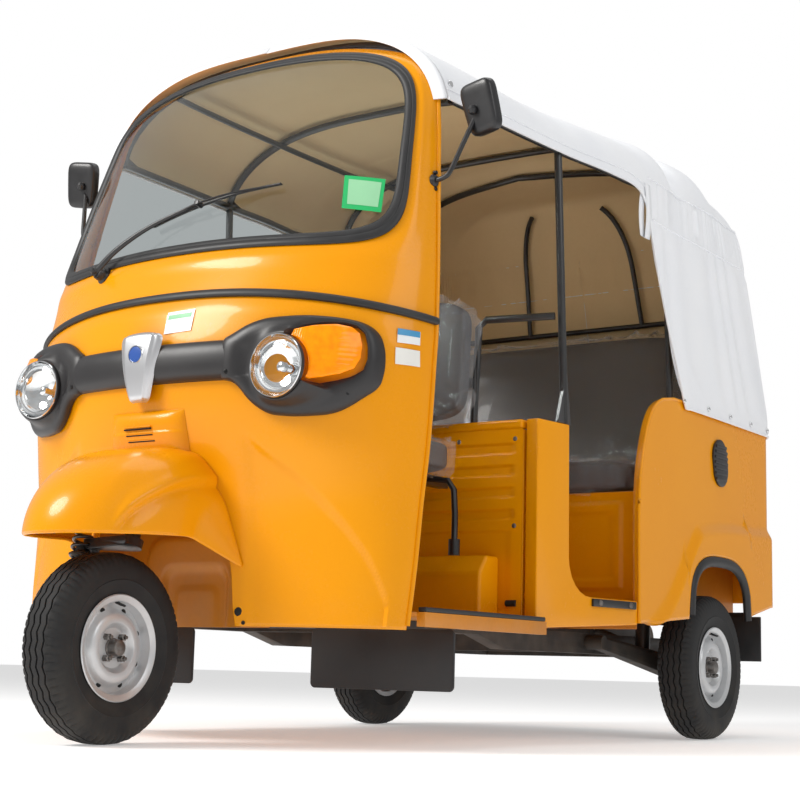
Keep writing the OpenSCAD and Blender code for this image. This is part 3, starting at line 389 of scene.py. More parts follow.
screen_surround = sheet("screen_surround", upper_shell, 320, 26, enamel, slot="cab_paint",
                        ring=True, thick=STEEL, flip=True)
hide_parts("windscreen_frame")


def tube(name, points, radius, material, body="body", slot=None, sides=12, closed=False,
         squash=1.0, upright=(0, 0, 1), ends=True):
    """A bar of round or flattened section along points; radius may be a list."""
    pts = [Vector(p) for p in points]
    n = len(pts)
    rings, faces = [], []
    last = None
    for i in range(n):
        before, after = (i - 1, (i + 1) % n) if closed else (max(i - 1, 0), min(i + 1, n - 1))
        t = (pts[after] - pts[before]).normalized()
        side = t.cross(Vector(upright))
        if side.length < 0.05:
            side = last or t.cross(Vector((0.3, 1, 0.2)))
        side.normalize()
        last = side
        lift = side.cross(t)
        r = radius[i] if isinstance(radius, (list, tuple)) else radius
        for k in range(sides):
            q = 2 * math.pi * k / sides
            rings.append(tuple(pts[i] + side * r * math.cos(q) + lift * r * squash * math.sin(q)))
    for i in range(n if closed else n - 1):
        for k in range(sides):
            a, b = i * sides + k, i * sides + (k + 1) % sides
            c, d = ((i + 1) % n) * sides + k, ((i + 1) % n) * sides + (k + 1) % sides
            faces.append((a, c, d, b))
    if not closed and ends:
        faces += [tuple(range(sides)), tuple(range(n * sides - 1, (n - 1) * sides - 1, -1))]
    return build(name, rings, faces, material, body, slot)


for side, label in ((1, "left"), (-1, "right")):
    edge = [shell(90 * side, mix(0.300, 1.906, k / 60), 0.001) for k in range(61)]
    tube("pillar_bead_" + label, edge, 0.0065, enamel, slot="cab_paint", sides=10)

    def lip(u, v, s=side):
        x, y, z = shell(90 * s, mix(0.305, 1.90, u), -0.002)
        return x - s * 0.024 * v, y + 0.004 - 0.002 * v, z
    sheet("pillar_flange_" + label, lip, 60, 2, enamel, slot="cab_paint", thick=0.002)

screen_glass = finish("screen_glass", (0.90, 0.96, 0.96), (0.84, 0.93, 0.94), 0.6, 1.5, 0.0, 0.015,
                      {"Transmission_Weight": 1.0, "IOR": 1.45}, None)


def pane(u, v):
    """The glass, just inside its opening and behind the shell's face."""
    p, q = 2 * u - 1, 2 * v - 1
    m = max(abs(p), abs(q))
    g, h = (0, 0) if m == 0 else tuple(m * k for k in round_off(p / m, q / m))
    return shell(g * (GLASS_ANGLE - 0.25), GLASS_MID + h * (GLASS_HALF - 0.002), -0.004)


windscreen = sheet("screen_pane", pane, 60, 40, screen_glass, slot="windscreen_glass", thick=0.005)
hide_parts("windscreen")

# ------------------------------------------------- rubber seal and belt
# A black rubber seal grips the glass and the edge of the shell, and a
# rubber strip is pushed over the joint between the two shells.
black_rubber = finish("black_rubber", (0.018, 0.018, 0.019), (0.035, 0.035, 0.036), 0.5, 12, 0.42,
                      0.12, {"Specular_IOR_Level": 0.45}, (500, 0.10, 0.0))


# The seal's section: how far outside the opening's edge, and how proud of the shell
SEAL = [(0.017, 0.0022), (0.0165, 0.005), (0.013, 0.0085), (0.006, 0.0105), (0.001, 0.0095),
        (-0.001, 0.0082), (-0.003, 0.0096), (-0.009, 0.0092), (-0.015, 0.006), (-0.0165, 0.001),
        (-0.0165, -0.003)]


def seal(u, v):
    g, h = round_off(*square(u))
    k = v * (len(SEAL) - 1)
    i = min(int(k), len(SEAL) - 2)
    grow, out = mix(SEAL[i], SEAL[i + 1], k - i)
    return shell(g * (GLASS_ANGLE + grow * 1000 / 6), GLASS_MID + h * (GLASS_HALF + grow), out)


screen_seal = sheet("screen_seal", seal, 320, 20, black_rubber, slot="seal_rubber", ring=True)
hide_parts("windscreen_seal")


def belt(u, v):
    """A half-round strip over the joint."""
    q = math.radians(180 * v)
    return shell(-89.5 + 179 * u, BELT - 0.0115 * math.cos(q), 0.001 + 0.012 * math.sin(q) ** 0.7)


belt_strip = sheet("belt_strip", belt, 160, 12, black_rubber, slot="seal_rubber")
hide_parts("belt_moulding")

# -------------------------------------------------------------- lamp mask
# A grained plastic mask across the nose carries both headlamps and the
# direction indicators. It is screwed to the shell from the front.
mask_plastic = finish("mask_plastic", (0.020, 0.019, 0.020), (0.030, 0.029, 0.030), 0.5, 9, 0.38,
                      0.06, {"Specular_IOR_Level": 0.5}, (420, 0.06, 0.5))
# How proud of the shell the bridge stands, by its share of the height
MASK_BAR = [(0.0, 0.0014), (0.01, 0.009), (0.05, 0.016), (0.14, 0.0225), (0.30, 0.0258),
            (0.55, 0.0262), (0.74, 0.0242), (0.88, 0.0195), (0.97, 0.012), (1.0, 0.0014)]


def bar_face(u, v):
    return shell_at(-0.262 + 0.524 * u, 0.888 + 0.102 * v, table(v, MASK_BAR))


mask_bar = sheet("mask_bridge", bar_face, 60, 44, mask_plastic, slot="trim_plastic")
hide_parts("mask_bar")

# Centre of a headlamp (x, z); outline of the mask round it, in millimetres, and
# of the direction indicator beside it
LAMP = (0.405, 0.911)
LENS_Y = shell_at(LAMP[0] - 0.076, LAMP[1], 0.030)[1]
OUTLINE = [(234, 888), (234, 938), (234, 989), (262, 1003), (298, 1026), (343, 1041), (388, 1044),
           (433, 1046), (478, 1043), (521, 1038), (562, 1028), (588, 1003), (597, 965), (598, 935),
           (596, 905), (588, 868), (556, 840), (527, 816), (494, 801), (457, 797), (419, 795),
           (385, 797), (352, 801), (311, 831), (286, 868), (262, 884)]
AMBER = [(0.405, 0.988), (0.439, 1.003), (0.480, 1.012), (0.523, 1.017), (0.548, 1.012),
         (0.564, 0.996), (0.570, 0.965), (0.570, 0.934), (0.562, 0.908), (0.540, 0.892),
         (0.509, 0.882), (0.470, 0.874), (0.440, 0.880), (0.420, 0.930)]


def rounded(points, times=2):
    """A closed outline with its corners cut off again and again."""
    for _ in range(times):
        points = [q for a, b in zip(points, points[1:] + points[:1])
                  for q in (mix(a, b, 0.25), mix(a, b, 0.75))]
    return points


def from_lamp(angle, reach):
    """Point (x, z) at an angle and distance from the lamp's centre."""
    angle = math.radians(angle)
    return LAMP[0] + reach * math.cos(angle), LAMP[1] + reach * math.sin(angle)


def amber_reach(angle):
    """How far the indicator reaches from the lamp's centre at an angle, 0 where there is none."""
    if not -30 < angle < 78:
        return 0.0
    way, far = Vector((math.cos(math.radians(angle)), math.sin(math.radians(angle)))), 0.0
    for (ax, az), (bx, bz) in zip(AMBER, AMBER[1:]):
        a, b = Vector((ax - LAMP[0], az - LAMP[1])), Vector((bx - LAMP[0], bz - LAMP[1]))
        cross_a, cross_b = way.x * a.y - way.y * a.x, way.x * b.y - way.y * b.x
        if cross_a * cross_b <= 0 and cross_a != cross_b:
            hit = a.lerp(b, cross_a / (cross_a - cross_b))
            far = max(far, hit.dot(way))
    return far


def amber_face(angle, reach, out=0.0):
    """Point of the indicator's face at an angle and distance from the lamp's centre."""
    x, z = from_lamp(angle, reach)
    share = max(0.0, min(1.0, (reach - 0.078) / 0.095))
    y = mix(LENS_Y + 0.022, shell_at(x, z, 0.030)[1], share ** 0.8)
    return x, min(y, shell_at(x, z, 0.028)[1]) - out, z


# How proud of the shell the mask stands, from its outline, 0, to the lamp's hole, 1
MASK_RISE = [(0.0, 0.0035), (0.006, 0.010), (0.03, 0.0155), (0.07, 0.0195), (0.14, 0.0235),
             (0.24, 0.0265), (0.36, 0.028), (0.5, 0.0285), (0.64, 0.0275), (0.78, 0.025),
             (0.88, 0.022), (0.95, 0.019), (1.0, 0.016)]


def mask_rows(side):
    """Rows of points from the mask's outline in to its hole, one for each outline point."""
    outline = [(x / 1000, z / 1000) for x, z in rounded(OUTLINE)]
    rows = []
    for x, z in outline:
        angle = math.degrees(math.atan2(z - LAMP[1], x - LAMP[0]))
        reach = math.hypot(x - LAMP[0], z - LAMP[1])
        amber = amber_reach(angle)
        hole = max(0.0805, amber + 0.004)
        row = []
        for t, out in MASK_RISE:
            p = from_lamp(angle, mix(reach, hole, t))
            y = shell_at(*p, out)[1]
            if hole < 0.0806:
                y = mix(y, LENS_Y + 0.008, ease((t - 0.45) / 0.5))
            row.append((side * p[0], y, p[1]))
        for extra, back in ((0.0015, 0.004), (0.002, 0.030)):
            p = from_lamp(angle, hole - extra)
            row.append((side * p[0], row[len(MASK_RISE) - 1][1] + back, p[1]))
        rows.append(row)
    return rows


def weld(mesh, gap=0.0, turn_out=True, flatten=0.0):
    """Joins points closer than gap, drops edges flatter than an angle, turns faces out."""
    work = bmesh.new()
    work.from_mesh(mesh)
    if gap:
        bmesh.ops.remove_doubles(work, verts=work.verts, dist=gap)
    if flatten:
        bmesh.ops.dissolve_limit(work, angle_limit=math.radians(flatten), verts=work.verts,
                                 edges=work.edges)
    if turn_out:
        bmesh.ops.recalc_face_normals(work, faces=work.faces)
    work.to_mesh(mesh)
    work.free()


def lathe(name, profile, centre, axis, material, body="body", slot=None, around=64, sharp=35,
          shape=None, closed=False):
    """A turned piece: profile of (radius, distance along the axis) round a centre."""
    way = Vector(axis).normalized()
    side = way.cross(Vector((0, 0, 1)) if abs(way.z) < 0.9 else Vector((0, 1, 0))).normalized()
    top = side.cross(way)
    points, faces, n = [], [], len(profile)
    for i in range(around):
        q = 2 * math.pi * i / around
        for r, h in profile:
            if shape:
                r, h = shape(q, r, h)
            spoke = side * math.cos(q) + top * math.sin(q)
            points.append(tuple(Vector(centre) + way * h + spoke * r))
    for i in range(around):
        for j in range(n if closed else n - 1):
            a, b = i * n + j, ((i + 1) % around) * n + j
            c = (j + 1) % n - j
            faces.append((a, b, b + c, a + c))
    made = build(name, points, faces, material, body, slot, sharp)
    weld(made.data, 0.00002)
    made.data.set_sharp_from_angle(angle=math.radians(sharp))
    return made


chrome = finish("chrome", (0.86, 0.87, 0.88), (0.78, 0.79, 0.80), 0.5, 20, 0.06, 0.05,
                {"Metallic": 1.0}, None)
lens_glass = finish("lens_glass", (0.97, 0.98, 0.98), (0.95, 0.96, 0.96), 0.5, 3, 0.02, 0.02,
                    {"Transmission_Weight": 1.0, "IOR": 1.35}, None)
# The indicator is not lit; its emission is a painted glow that makes its orange brighter
amber_plastic = finish("amber_plastic", (1.0, 0.30, 0.0), (0.90, 0.17, 0.0), 0.6, 60, 0.12, 0.06,
                       {"Specular_IOR_Level": 0.3, "Emission_Color": (1.0, 0.30, 0.0, 1),
                        "Emission_Strength": 0.22}, None)
screw_black = finish("screw_black", (0.02, 0.02, 0.02), (0.05, 0.05, 0.05), 0.5, 60, 0.35, 0.1,
                     {"Metallic": 0.8}, None)
for side, label in ((1, "left"), (-1, "right")):
    rows = mask_rows(side)
    n, m = len(rows), len(rows[0])
    faces = [(i * m + j, ((i + 1) % n) * m + j, ((i + 1) % n) * m + j + 1, i * m + j + 1)
             for i in range(n) for j in range(m - 1)]
    if side < 0:
        faces = [f[::-1] for f in faces]
    surround = build("surround_" + label, [p for r in rows for p in r], faces, mask_plastic,
                     slot="trim_plastic", sharp=50)
    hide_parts("lamp_surrounds")
    centre = (side * LAMP[0], LENS_Y, LAMP[1])
    bowl = [(0.0785, -0.001), (0.0775, -0.004), (0.0755, -0.004), (0.0745, 0.004)] + [
        (0.0745 * math.cos(math.radians(a)) ** 0.8, 0.004 + 0.052 * math.sin(math.radians(a)))
        for a in range(6, 84, 6)] + [(0.012, 0.058)]
    reflector = lathe("reflector_" + label, bowl, centre, (0, 1, 0), chrome, slot="lamp_lens",
                      around=72)
    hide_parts("headlamps")
    lathe("lamp_rim_" + label, [(0.0795, 0.010), (0.0795, 0.002), (0.0785, 0.0), (0.0765, -0.0005),
                                (0.0755, 0.002), (0.0755, 0.012)], centre, (0, 1, 0), mask_plastic,
          slot="trim_plastic", around=72)
    lathe("bulb_shield_" + label, [(0.0, 0.016), (0.009, 0.017), (0.0125, 0.020), (0.013, 0.034),
                                   (0.010, 0.040), (0.010, 0.058)], centre, (0, 1, 0), chrome,
          slot="lamp_lens", around=32)
    dome = [(0.0, -0.014), (0.02, -0.0130), (0.04, -0.0100), (0.06, -0.0045), (0.070, 0.0),
            (0.0752, 0.004)]
    front = [tuple(table(r / 0.0752, [(a / 0.0752, a, b) for a, b in dome])) for r in
             [0.0752 * k / 14 for k in range(15)]]
    lathe("lamp_lens_" + label, front + [(r, h + 0.0025) for r, h in front[::-1]], centre,
          (0, 1, 0), lens_glass, slot="lamp_lens", around=72)
    na, nr = 90, 26
    grid = []
    for i in range(na + 1):
        angle = -24 + 96 * i / na
        far = amber_reach(angle)
        for j in range(nr + 1):
            r = mix(0.0795, max(far, 0.0805), j / nr)
            x, y, z = amber_face(angle, r)
            edge = min(1.0, min(j, nr - j) / 3.0, min(i, na - i) / 3.0)
            flute = (0.0012 * abs(math.sin(x * 520)) if x < 0.535
                     else 0.0022 * abs(math.sin(z * 260)))
            grid.append((side * x, y - (0.005 + flute) * math.sin(math.pi / 2 * edge) + 0.002, z))
    faces = [(i * (nr + 1) + j, (i + 1) * (nr + 1) + j, (i + 1) * (nr + 1) + j + 1,
              i * (nr + 1) + j + 1)
             for i in range(na) for j in range(nr)]
    amber = build("indicator_" + label, grid, faces if side > 0 else [f[::-1] for f in faces],
                  amber_plastic, slot="amber_lens", sharp=28)
    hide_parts("indicators")
    for x, z in ((0.586, 0.957), (0.540, 0.851), (0.262, 0.905)):
        px, py, pz = shell_at(x, z, 0.0225 if x > 0.3 else 0.0262)
        lean = math.asin(min(1, x / HALF_WIDTH))
        lathe("mask_screw_%s_%d" % (label, round(x * 1000)),
              [(0.0, -0.0030), (0.003, -0.0034), (0.0055, -0.0022), (0.0065, 0.0),
               (0.0065, 0.003)],
              (side * px, py, pz), (-side * math.sin(lean), math.cos(lean), 0), screw_black,
              slot="trim_plastic", around=20)

# The plate on the nose is silver plastic with a plain round disc
silver = finish("silver_plastic", (0.60, 0.61, 0.63), (0.52, 0.53, 0.55), 0.5, 8, 0.28, 0.06,
                {"Metallic": 0.75, "Coat_Weight": 0.3}, (500, 0.02, 0.0))
# Half the plate's width, by its share of the height
NOSE = [(0.0, 0.024), (0.04, 0.031), (0.10, 0.036), (0.3, 0.046), (0.6, 0.058), (0.8, 0.0655),
        (0.9, 0.068), (0.96, 0.065), (1.0, 0.056)]


def nose_face(u, v):
    p = 2 * u - 1
    w = table(v, NOSE)
    z = 0.842 + 0.174 * v + 0.006 * v ** 8 * (1 - p * p)
    rim = max(abs(p) ** 10, (abs(2 * v - 1)) ** 24)
    bevel = 0.0045 * ease((abs(p) - 0.62) / 0.16)
    return shell_at(w * p, z, 0.0400 - bevel - 0.012 * rim + 0.002 * v)


nose = sheet("nose_badge_plate", nose_face, 56, 56, silver, slot="silver_plastic")
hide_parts("nose_plate")
disc_blue = finish("disc_blue", (0.02, 0.09, 0.38), (0.02, 0.07, 0.30), 0.4, 12, 0.25, 0.05,
                   {"Coat_Weight": 0.6}, None)
disc_at = shell_at(0.0, 0.962, 0.0412)
lathe("nose_disc", [(0.0, -0.0034), (0.014, -0.0031), (0.0195, -0.0022), (0.0205, 0.0)], disc_at,
      (0, 1, 0), disc_blue, slot="silver_plastic", around=48)
lathe("nose_disc_ring", [(0.0202, 0.0), (0.0210, -0.0030), (0.0230, -0.0030), (0.0242, 0.001)],
      disc_at, (0, 1, 0), chrome, slot="silver_plastic", around=48)

# --------------------------------------------------------------- mudguard
# A deep pressed nose over the front wheel, spot welded to the shell, with
# a short neck that carries three vent slots.
# Half width, its widest place behind the axle, and its tip before the axle; then
# the height of its rim along y, and where its root meets the shell
GUARD_HALF, GUARD_SIDE, GUARD_TIP = 0.205, 0.078, 0.225
GUARD_FOOT = shell_at(0.265, 0.437, 0.004)
RIM_RISE = [(-0.225, 0.492), (0.050, 0.502), (0.078, 0.498)]
ROOT_X = [(0, 0), (0.3, 0.100), (0.5, 0.156), (0.62, 0.184), (0.75, 0.214), (0.88, 0.241),
          (1, 0.265)]
ROOT_Z = [(0, 0.722), (0.3, 0.720), (0.5, 0.706), (0.62, 0.672), (0.75, 0.596), (0.88, 0.510),
          (1, 0.437)]
CREASE = [(0.36, 0.490), (0.43, 0.545), (0.52, 0.590), (0.62, 0.625), (0.74, 0.650), (0.85, 0.660)]


def guard_rim(u):
    """The lower edge, from the tip in the middle to the foot at the side."""
    q, f = math.radians(min(1, u / 0.75) * 90), max(0, (u - 0.75) / 0.25)
    y = GUARD_SIDE - (GUARD_SIDE + GUARD_TIP) * max(0.0, math.cos(q)) ** 0.95
    z = table(y, RIM_RISE)
    return mix((GUARD_HALF * math.sin(q), y, z), GUARD_FOOT, f)


def guard_point(p, v, inside=0.0):
    """Point of the mudguard from side to side, -1 to 1, and from its rim to its root."""
    u = abs(p)
    a, x, z = guard_rim(u), table(u, ROOT_X), table(u, ROOT_Z)
    b = shell_at(x, z, 0.004 + 0.026 * max(0, min(1, (0.130 - x) / 0.025)))
    h, k = 1 - math.cos(math.pi / 2 * v), math.sin(math.pi / 2 * v) ** 1.1
    q = [mix(a[0], b[0], h), mix(a[1], b[1], h), mix(a[2], b[2], k)]
    d = Vector((q[0], min(0, q[1] - GUARD_SIDE), 0.0005 + 1.2 * (q[2] - a[2]))).normalized()
    above = q[2] - table(u, CREASE)
    raised = 0.0085 * math.tanh(above / 0.0045) * math.exp(-(above / 0.040) ** 2)
    raised *= ease((u - 0.36) / 0.06) * (1 - ease((u - 0.72) / 0.10))
    q = [c + e * (raised - inside) for c, e in zip(q, d)]
    return (math.copysign(max(0.0, q[0]), p), q[1], q[2])


guard = sheet("guard_nose", lambda u, v: guard_point(2 * u - 1, v * 0.985), 150, 56, enamel,
              slot="cab_paint", thick=0.003, flip=True, sharp=60)
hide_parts("front_mudguard")
tube("guard_rolled_edge", [guard_point(-1 + k / 60, 0.0, 0.002) for k in range(121)], 0.0042,
     enamel, slot="cab_paint", sides=8)


def neck(u, v):
    """The raised panel between the mudguard and the mask."""
    p = 2 * u - 1
    grow = max(0.0, 1 - abs(p) ** 5) ** 0.7 * max(0.0, 1 - max(0.0, v) ** 7) ** 0.7
    width = 0.129 - 0.010 * v
    step = 0.004 * ease((v - 0.52) / 0.06)
    return shell_at(width * p, 0.700 + 0.124 * v, 0.001 + (0.031 - step) * grow)


sheet("guard_neck", neck, 72, 40, enamel, slot="cab_paint")
# Painted shade: the black of the neck slots, drain holes, wheel vents and partition slots stands
# for the shadow inside these openings
hole_shade_black = finish("hole_shade_black", (0.008, 0.008, 0.008), (0.015, 0.015, 0.015), 0.5, 60, 0.8, 0.1,
                    None, None)
for k in range(3):
    tube("neck_slot_%d" % k, [shell_at(-0.054 + 0.006 * k + 0.088 * i / 10, 0.776 - 0.0155 * k,
                                       0.0300)
                              for i in range(11)], 0.0036, hole_shade_black, slot="trim_plastic",
         squash=0.55)
    tube("neck_slot_lip_%d" % k, [shell_at(-0.055 + 0.006 * k + 0.090 * i / 10,
                                           0.7815 - 0.0155 * k, 0.0305)
                                  for i in range(11)], 0.0022, enamel, slot="cab_paint")

# The housing behind the front wheel is a pressing with rounded shoulders
# The inner orange is the enamel painted darker: painted shade on the wheel housing, the arch
# skirts, the cab floor and the seat base
enamel_shaded = finish("orange_painted_shade", (0.62, 0.22, 0.006), (0.45, 0.16, 0.01), 0.5, 5, 0.38, 0.12,
                   None, (120, 0.02, 0.0), (0.6, 0.25))
HOUSE_HALF, HOUSE_FOOT, SHOULDER_Z, SHOULDER_R = 0.254, 0.291, 0.549, 0.090
HOUSE = [(-HOUSE_HALF, HOUSE_FOOT), (-HOUSE_HALF, SHOULDER_Z)] + [
    (-0.164 - SHOULDER_R * math.cos(k * math.pi / 16),
     SHOULDER_Z + SHOULDER_R * math.sin(k * math.pi / 16)) for k in range(1, 9)]
HOUSE = HOUSE + [(-x, z) for x, z in HOUSE[::-1]]


def housing(u, v):
    """The arch of the housing, then its back wall, drawn in towards the middle."""
    k = u * (len(HOUSE) - 1)
    i = min(int(k), len(HOUSE) - 2)
    x, z = mix(HOUSE[i], HOUSE[i + 1], k - i)
    if v <= 0.4:
        return x, mix(0.200, 0.322, v / 0.4), z
    f = 1 - (v - 0.4) / 0.6
    inner = max(HOUSE_FOOT, mix(0.30, z, f)) if z > HOUSE_FOOT + 0.0005 else HOUSE_FOOT
    y = 0.322 + 0.013 * math.sin(math.pi / 2 * min(1, (1 - f) / 0.08))
    rib = 0.014 * (ease((0.70 - f) / 0.06) - ease((0.45 - f) / 0.06))
    y -= rib + 0.004 * ease((0.30 - f) / 0.05)
    return x * f, y, inner


well = sheet("wheel_housing", housing, 114, 70, enamel_shaded, slot="cab_paint", sharp=50)
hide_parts("wheel_well")

for side, label in ((1, "left"), (-1, "right")):
    def skirt(u, v, s=side):
        z = mix(HOUSE_FOOT, 0.640, u)
        above, below = next(p for p in zip(ARCH, ARCH[1:]) if p[1][1] <= z <= p[0][1])
        edge_x = mix(above[0], below[0], (z - above[1]) / (below[1] - above[1]))
        x, y, _ = shell_at(edge_x + 0.004, z, -0.003)
        return s * mix(x, 0.2545, v), mix(y, 0.212, v), z
    sheet("arch_skirt_" + label, skirt, 40, 8, enamel_shaded, slot="cab_paint")
    # Painted shade: dark discs stand for the drain holes
    for x, z, r in ((0.261, 0.325, 0.011), (0.275, 0.2985, 0.005)):
        px, py, pz = shell_at(x, z, 0.0006)
        lathe("drain_hole_%s_%d" % (label, r * 1000), [(0.0, -0.0006), (r * 0.8, -0.0006),
                                                       (r, 0.0008)],
              (side * px, py, pz), (-side * 0.40, 0.92, 0), hole_shade_black, slot="trim_plastic",
              around=28)

# -------------------------------------------------------- wiper, mirrors
# One pressed-steel wiper arm on a spindle at the foot of the glass, and a
# mirror in a plastic head on a bent rod at each side.
satin_black = finish("satin_black", (0.010, 0.010, 0.011), (0.020, 0.020, 0.022), 0.5, 18, 0.34,
                     0.08, {"Coat_Weight": 0.15}, (380, 0.05, 0.3))


def over_shell(x, z, out):
    """Point over the upper shell or its glass at x, on the line whose middle is at z."""
    half = HALF_WIDTH * table(1 + (z - BELT) / (TOP - BELT), SHELL)[0]
    return shell(math.degrees(math.asin(x / half)), z, out)


def smooth_path(points, steps=8):
    """A smooth curve through the points."""
    rows = [(k, *p) for k, p in enumerate(points)]
    return [tuple(table(k / steps, rows)) for k in range((len(points) - 1) * steps + 1)]


WIPER_AT = (-0.272, 1.232)
pivot = over_shell(*WIPER_AT, 0.0)
wiper_foot = lathe("wiper_spindle", [(0.0, -0.046), (0.007, -0.045), (0.010, -0.040),
                                     (0.010, -0.028), (0.017, -0.026), (0.019, -0.018),
                                     (0.019, -0.010), (0.024, -0.006), (0.024, 0.004)], pivot,
                   (0.25, 0.93, -0.27), satin_black, slot="trim_plastic", around=32)
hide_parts("wiper")
arm = smooth_path([over_shell(*WIPER_AT, 0.034), over_shell(-0.205, 1.290, 0.036),
                   over_shell(-0.110, 1.345, 0.030), over_shell(0.030, 1.396, 0.024)])
tube("wiper_arm", arm, [mix(0.010, 0.0045, k / (len(arm) - 1)) for k in range(len(arm))],
     satin_black, slot="trim_plastic", squash=0.55, upright=(0, 1, 0.3))
blade = [over_shell(mix(-0.118, 0.262, k / 30), mix(1.352, 1.432, k / 30) + 0.010 * math.sin(
    math.pi * k / 30), 0.0125) for k in range(31)]
tube("wiper_blade", blade, 0.0034, satin_black, slot="trim_plastic", squash=1.3, upright=(0, 1, 0))
tube("wiper_rubber", [(x, y + 0.005, z) for x, y, z in blade], [0.0022] * 31, black_rubber,
     slot="seal_rubber", squash=1.8, upright=(0, 1, 0))
bridge = smooth_path([(blade[k][0], blade[k][1] - proud, blade[k][2]) for k, proud in
                      ((3, 0.0), (9, 0.012), (14, 0.017), (20, 0.012), (27, 0.0))])
tube("wiper_bridge", bridge, 0.0042, satin_black, slot="trim_plastic", squash=0.6)
lathe("wiper_joint", [(0.0, -0.010), (0.007, -0.009), (0.008, 0.0), (0.008, 0.014)], arm[-1],
      (0, 1, -0.2), satin_black, slot="trim_plastic", around=24)


def pillow(name, centre, size, power, material, body="body", slot=None, turn=None, bend=None,
           n=36):
    """A rounded block: half sizes, and a power from 2 for a ball to 10 for a brick."""
    points, faces = [], []

    def wave(c):
        return math.copysign(abs(c) ** (2 / power), c)
    for i in range(n):
        a = 2 * math.pi * i / n
        for j in range(n // 2 + 1):
            b = math.pi * (j / (n // 2) - 0.5)
            p = [size[0] * wave(math.cos(a)) * wave(math.cos(b)),
                 size[1] * wave(math.sin(a)) * wave(math.cos(b)), size[2] * wave(math.sin(b))]
            p = bend(p) if bend else p
            q = turn @ Vector(p) if turn else Vector(p)
            points.append(tuple(Vector(centre) + q))
    m = n // 2 + 1
    for i in range(n):
        for j in range(m - 1):
            faces.append((i * m + j, ((i + 1) % n) * m + j, ((i + 1) % n) * m + j + 1,
                          i * m + j + 1))
    made = build(name, points, faces, material, body, slot, 60)
    weld(made.data, 0.00001, turn_out=False)
    made.data.shade_smooth()
    return made


for side, label in ((1, "left"), (-1, "right")):
    foot, head = Vector((side * 0.6085, 0.486, 1.440)), Vector((side * 0.712, 0.545, 1.652))
    elbow = foot + Vector((side * 0.038, 0.004, 0.010))
    knee = head - Vector((side * 0.014, 0.004, 0.030))
    rod = smooth_path([foot, foot + (elbow - foot) * 0.7, elbow + (knee - elbow) * 0.08,
                       elbow + (knee - elbow) * 0.5, knee])
    stem = tube("mirror_stem_" + label, rod, 0.0066, satin_black, slot="trim_plastic")
    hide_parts("mirrors")
    lathe("mirror_foot_" + label, [(0.0, 0.008), (0.012, 0.008), (0.017, 0.004), (0.018, -0.002)],
          tuple(foot - Vector((side * 0.002, 0, 0))), (side, 0, 0), satin_black,
          slot="trim_plastic", around=32)
    for dz in (-0.022, 0.022):
        lathe("mirror_bolt_%s_%d" % (label, dz * 1000), [(0.0, 0.009), (0.005, 0.008),
                                                         (0.006, 0.0)],
              tuple(foot + Vector((-side * 0.002, 0.0, dz))), (side, 0, 0), screw_black,
              slot="trim_plastic", around=16)
    lean = Matrix.Rotation(math.radians(-8 * side), 3, "Z") @ Matrix.Rotation(
        math.radians(-8 * side), 3, "Y") @ Matrix.Rotation(math.radians(12), 3, "X")
    head = head - Vector((0, 0, 0.014))
    pillow("mirror_head_" + label, head, (0.053, 0.023, 0.070), 5.2, satin_black,
           slot="trim_plastic", turn=lean, bend=lambda p: [p[0] * (0.93 + 0.9 * p[2]),
                                                           p[1] * (1.0 if p[1] < 0 else 0.7),
                                                           p[2]])
    glass_at = [tuple(head + lean @ Vector((0.046 * a * (0.93 + 0.9 * b * 0.066), 0.0168,
                                            0.066 * b)))
                for a, b in [round_off(*square(k / 40), 4.6) for k in range(40)]]
    build("mirror_glass_" + label, glass_at, [tuple(range(40))], chrome, slot="lamp_lens")
    lathe("mirror_ball_" + label, [(0.0, -0.014), (0.009, -0.010), (0.0125, 0.0), (0.009, 0.010),
                                   (0.0, 0.014)],
          tuple(knee + Vector((0, -0.022, 0.004))), (0, 0, 1), satin_black, slot="trim_plastic",
          around=24)

# -------------------------------------------------------- blank stickers
# Small printed labels; they are left blank, only their colours are kept.


def sticker(name, corners, out, colour, panel=False):
    """A label from four corners (x, z) on the lower shell, or on the upper if it is a panel."""
    paper = finish(name + "_paper", colour, tuple(c * 0.9 for c in colour), 0.5, 20, 0.30, 0.05,
                   None, None)

    def at(u, v):
        low_x, low_z = mix(corners[0], corners[1], u)
        top_x, top_z = mix(corners[3], corners[2], u)
        x, z = mix(low_x, top_x, v), mix(low_z, top_z, v)
        if not panel:
            return shell_at(x, z, out)
        line = z
        for _ in range(4):
            point = over_shell(x, line, out)
            line += z - point[2]
        return over_shell(x, line, out)
    return sheet(name, at, 8, 8, paper, slot="trim_plastic")


sticker("label_nose", [(0.048, 1.018), (0.132, 1.022), (0.134, 1.080), (0.050, 1.076)], 0.0022,
        (0.86, 0.88, 0.84))
sticker("label_nose_band", [(0.054, 1.056), (0.126, 1.059), (0.127, 1.071), (0.055, 1.068)],
        0.0026, (0.10, 0.42, 0.16))
sticker("label_glass", [(0.442, 1.346), (0.534, 1.333), (0.524, 1.430), (0.425, 1.444)], 0.0008,
        (0.02, 0.45, 0.13), True)
sticker("label_glass_field", [(0.452, 1.358), (0.524, 1.348), (0.517, 1.420), (0.438, 1.432)],
        0.0014, (0.30, 0.62, 0.36), True)
sticker("label_side_top", [(0.614, 0.986), (0.643, 0.986), (0.643, 1.020), (0.614, 1.022)], 0.0022,
        (0.85, 0.87, 0.88))
sticker("label_side_band", [(0.614, 1.006), (0.643, 1.005), (0.643, 1.020), (0.614, 1.022)],
        0.0026, (0.06, 0.30, 0.55))
sticker("label_side_low", [(0.612, 0.932), (0.643, 0.932), (0.643, 0.972), (0.612, 0.974)], 0.0022,
        (0.84, 0.83, 0.78))

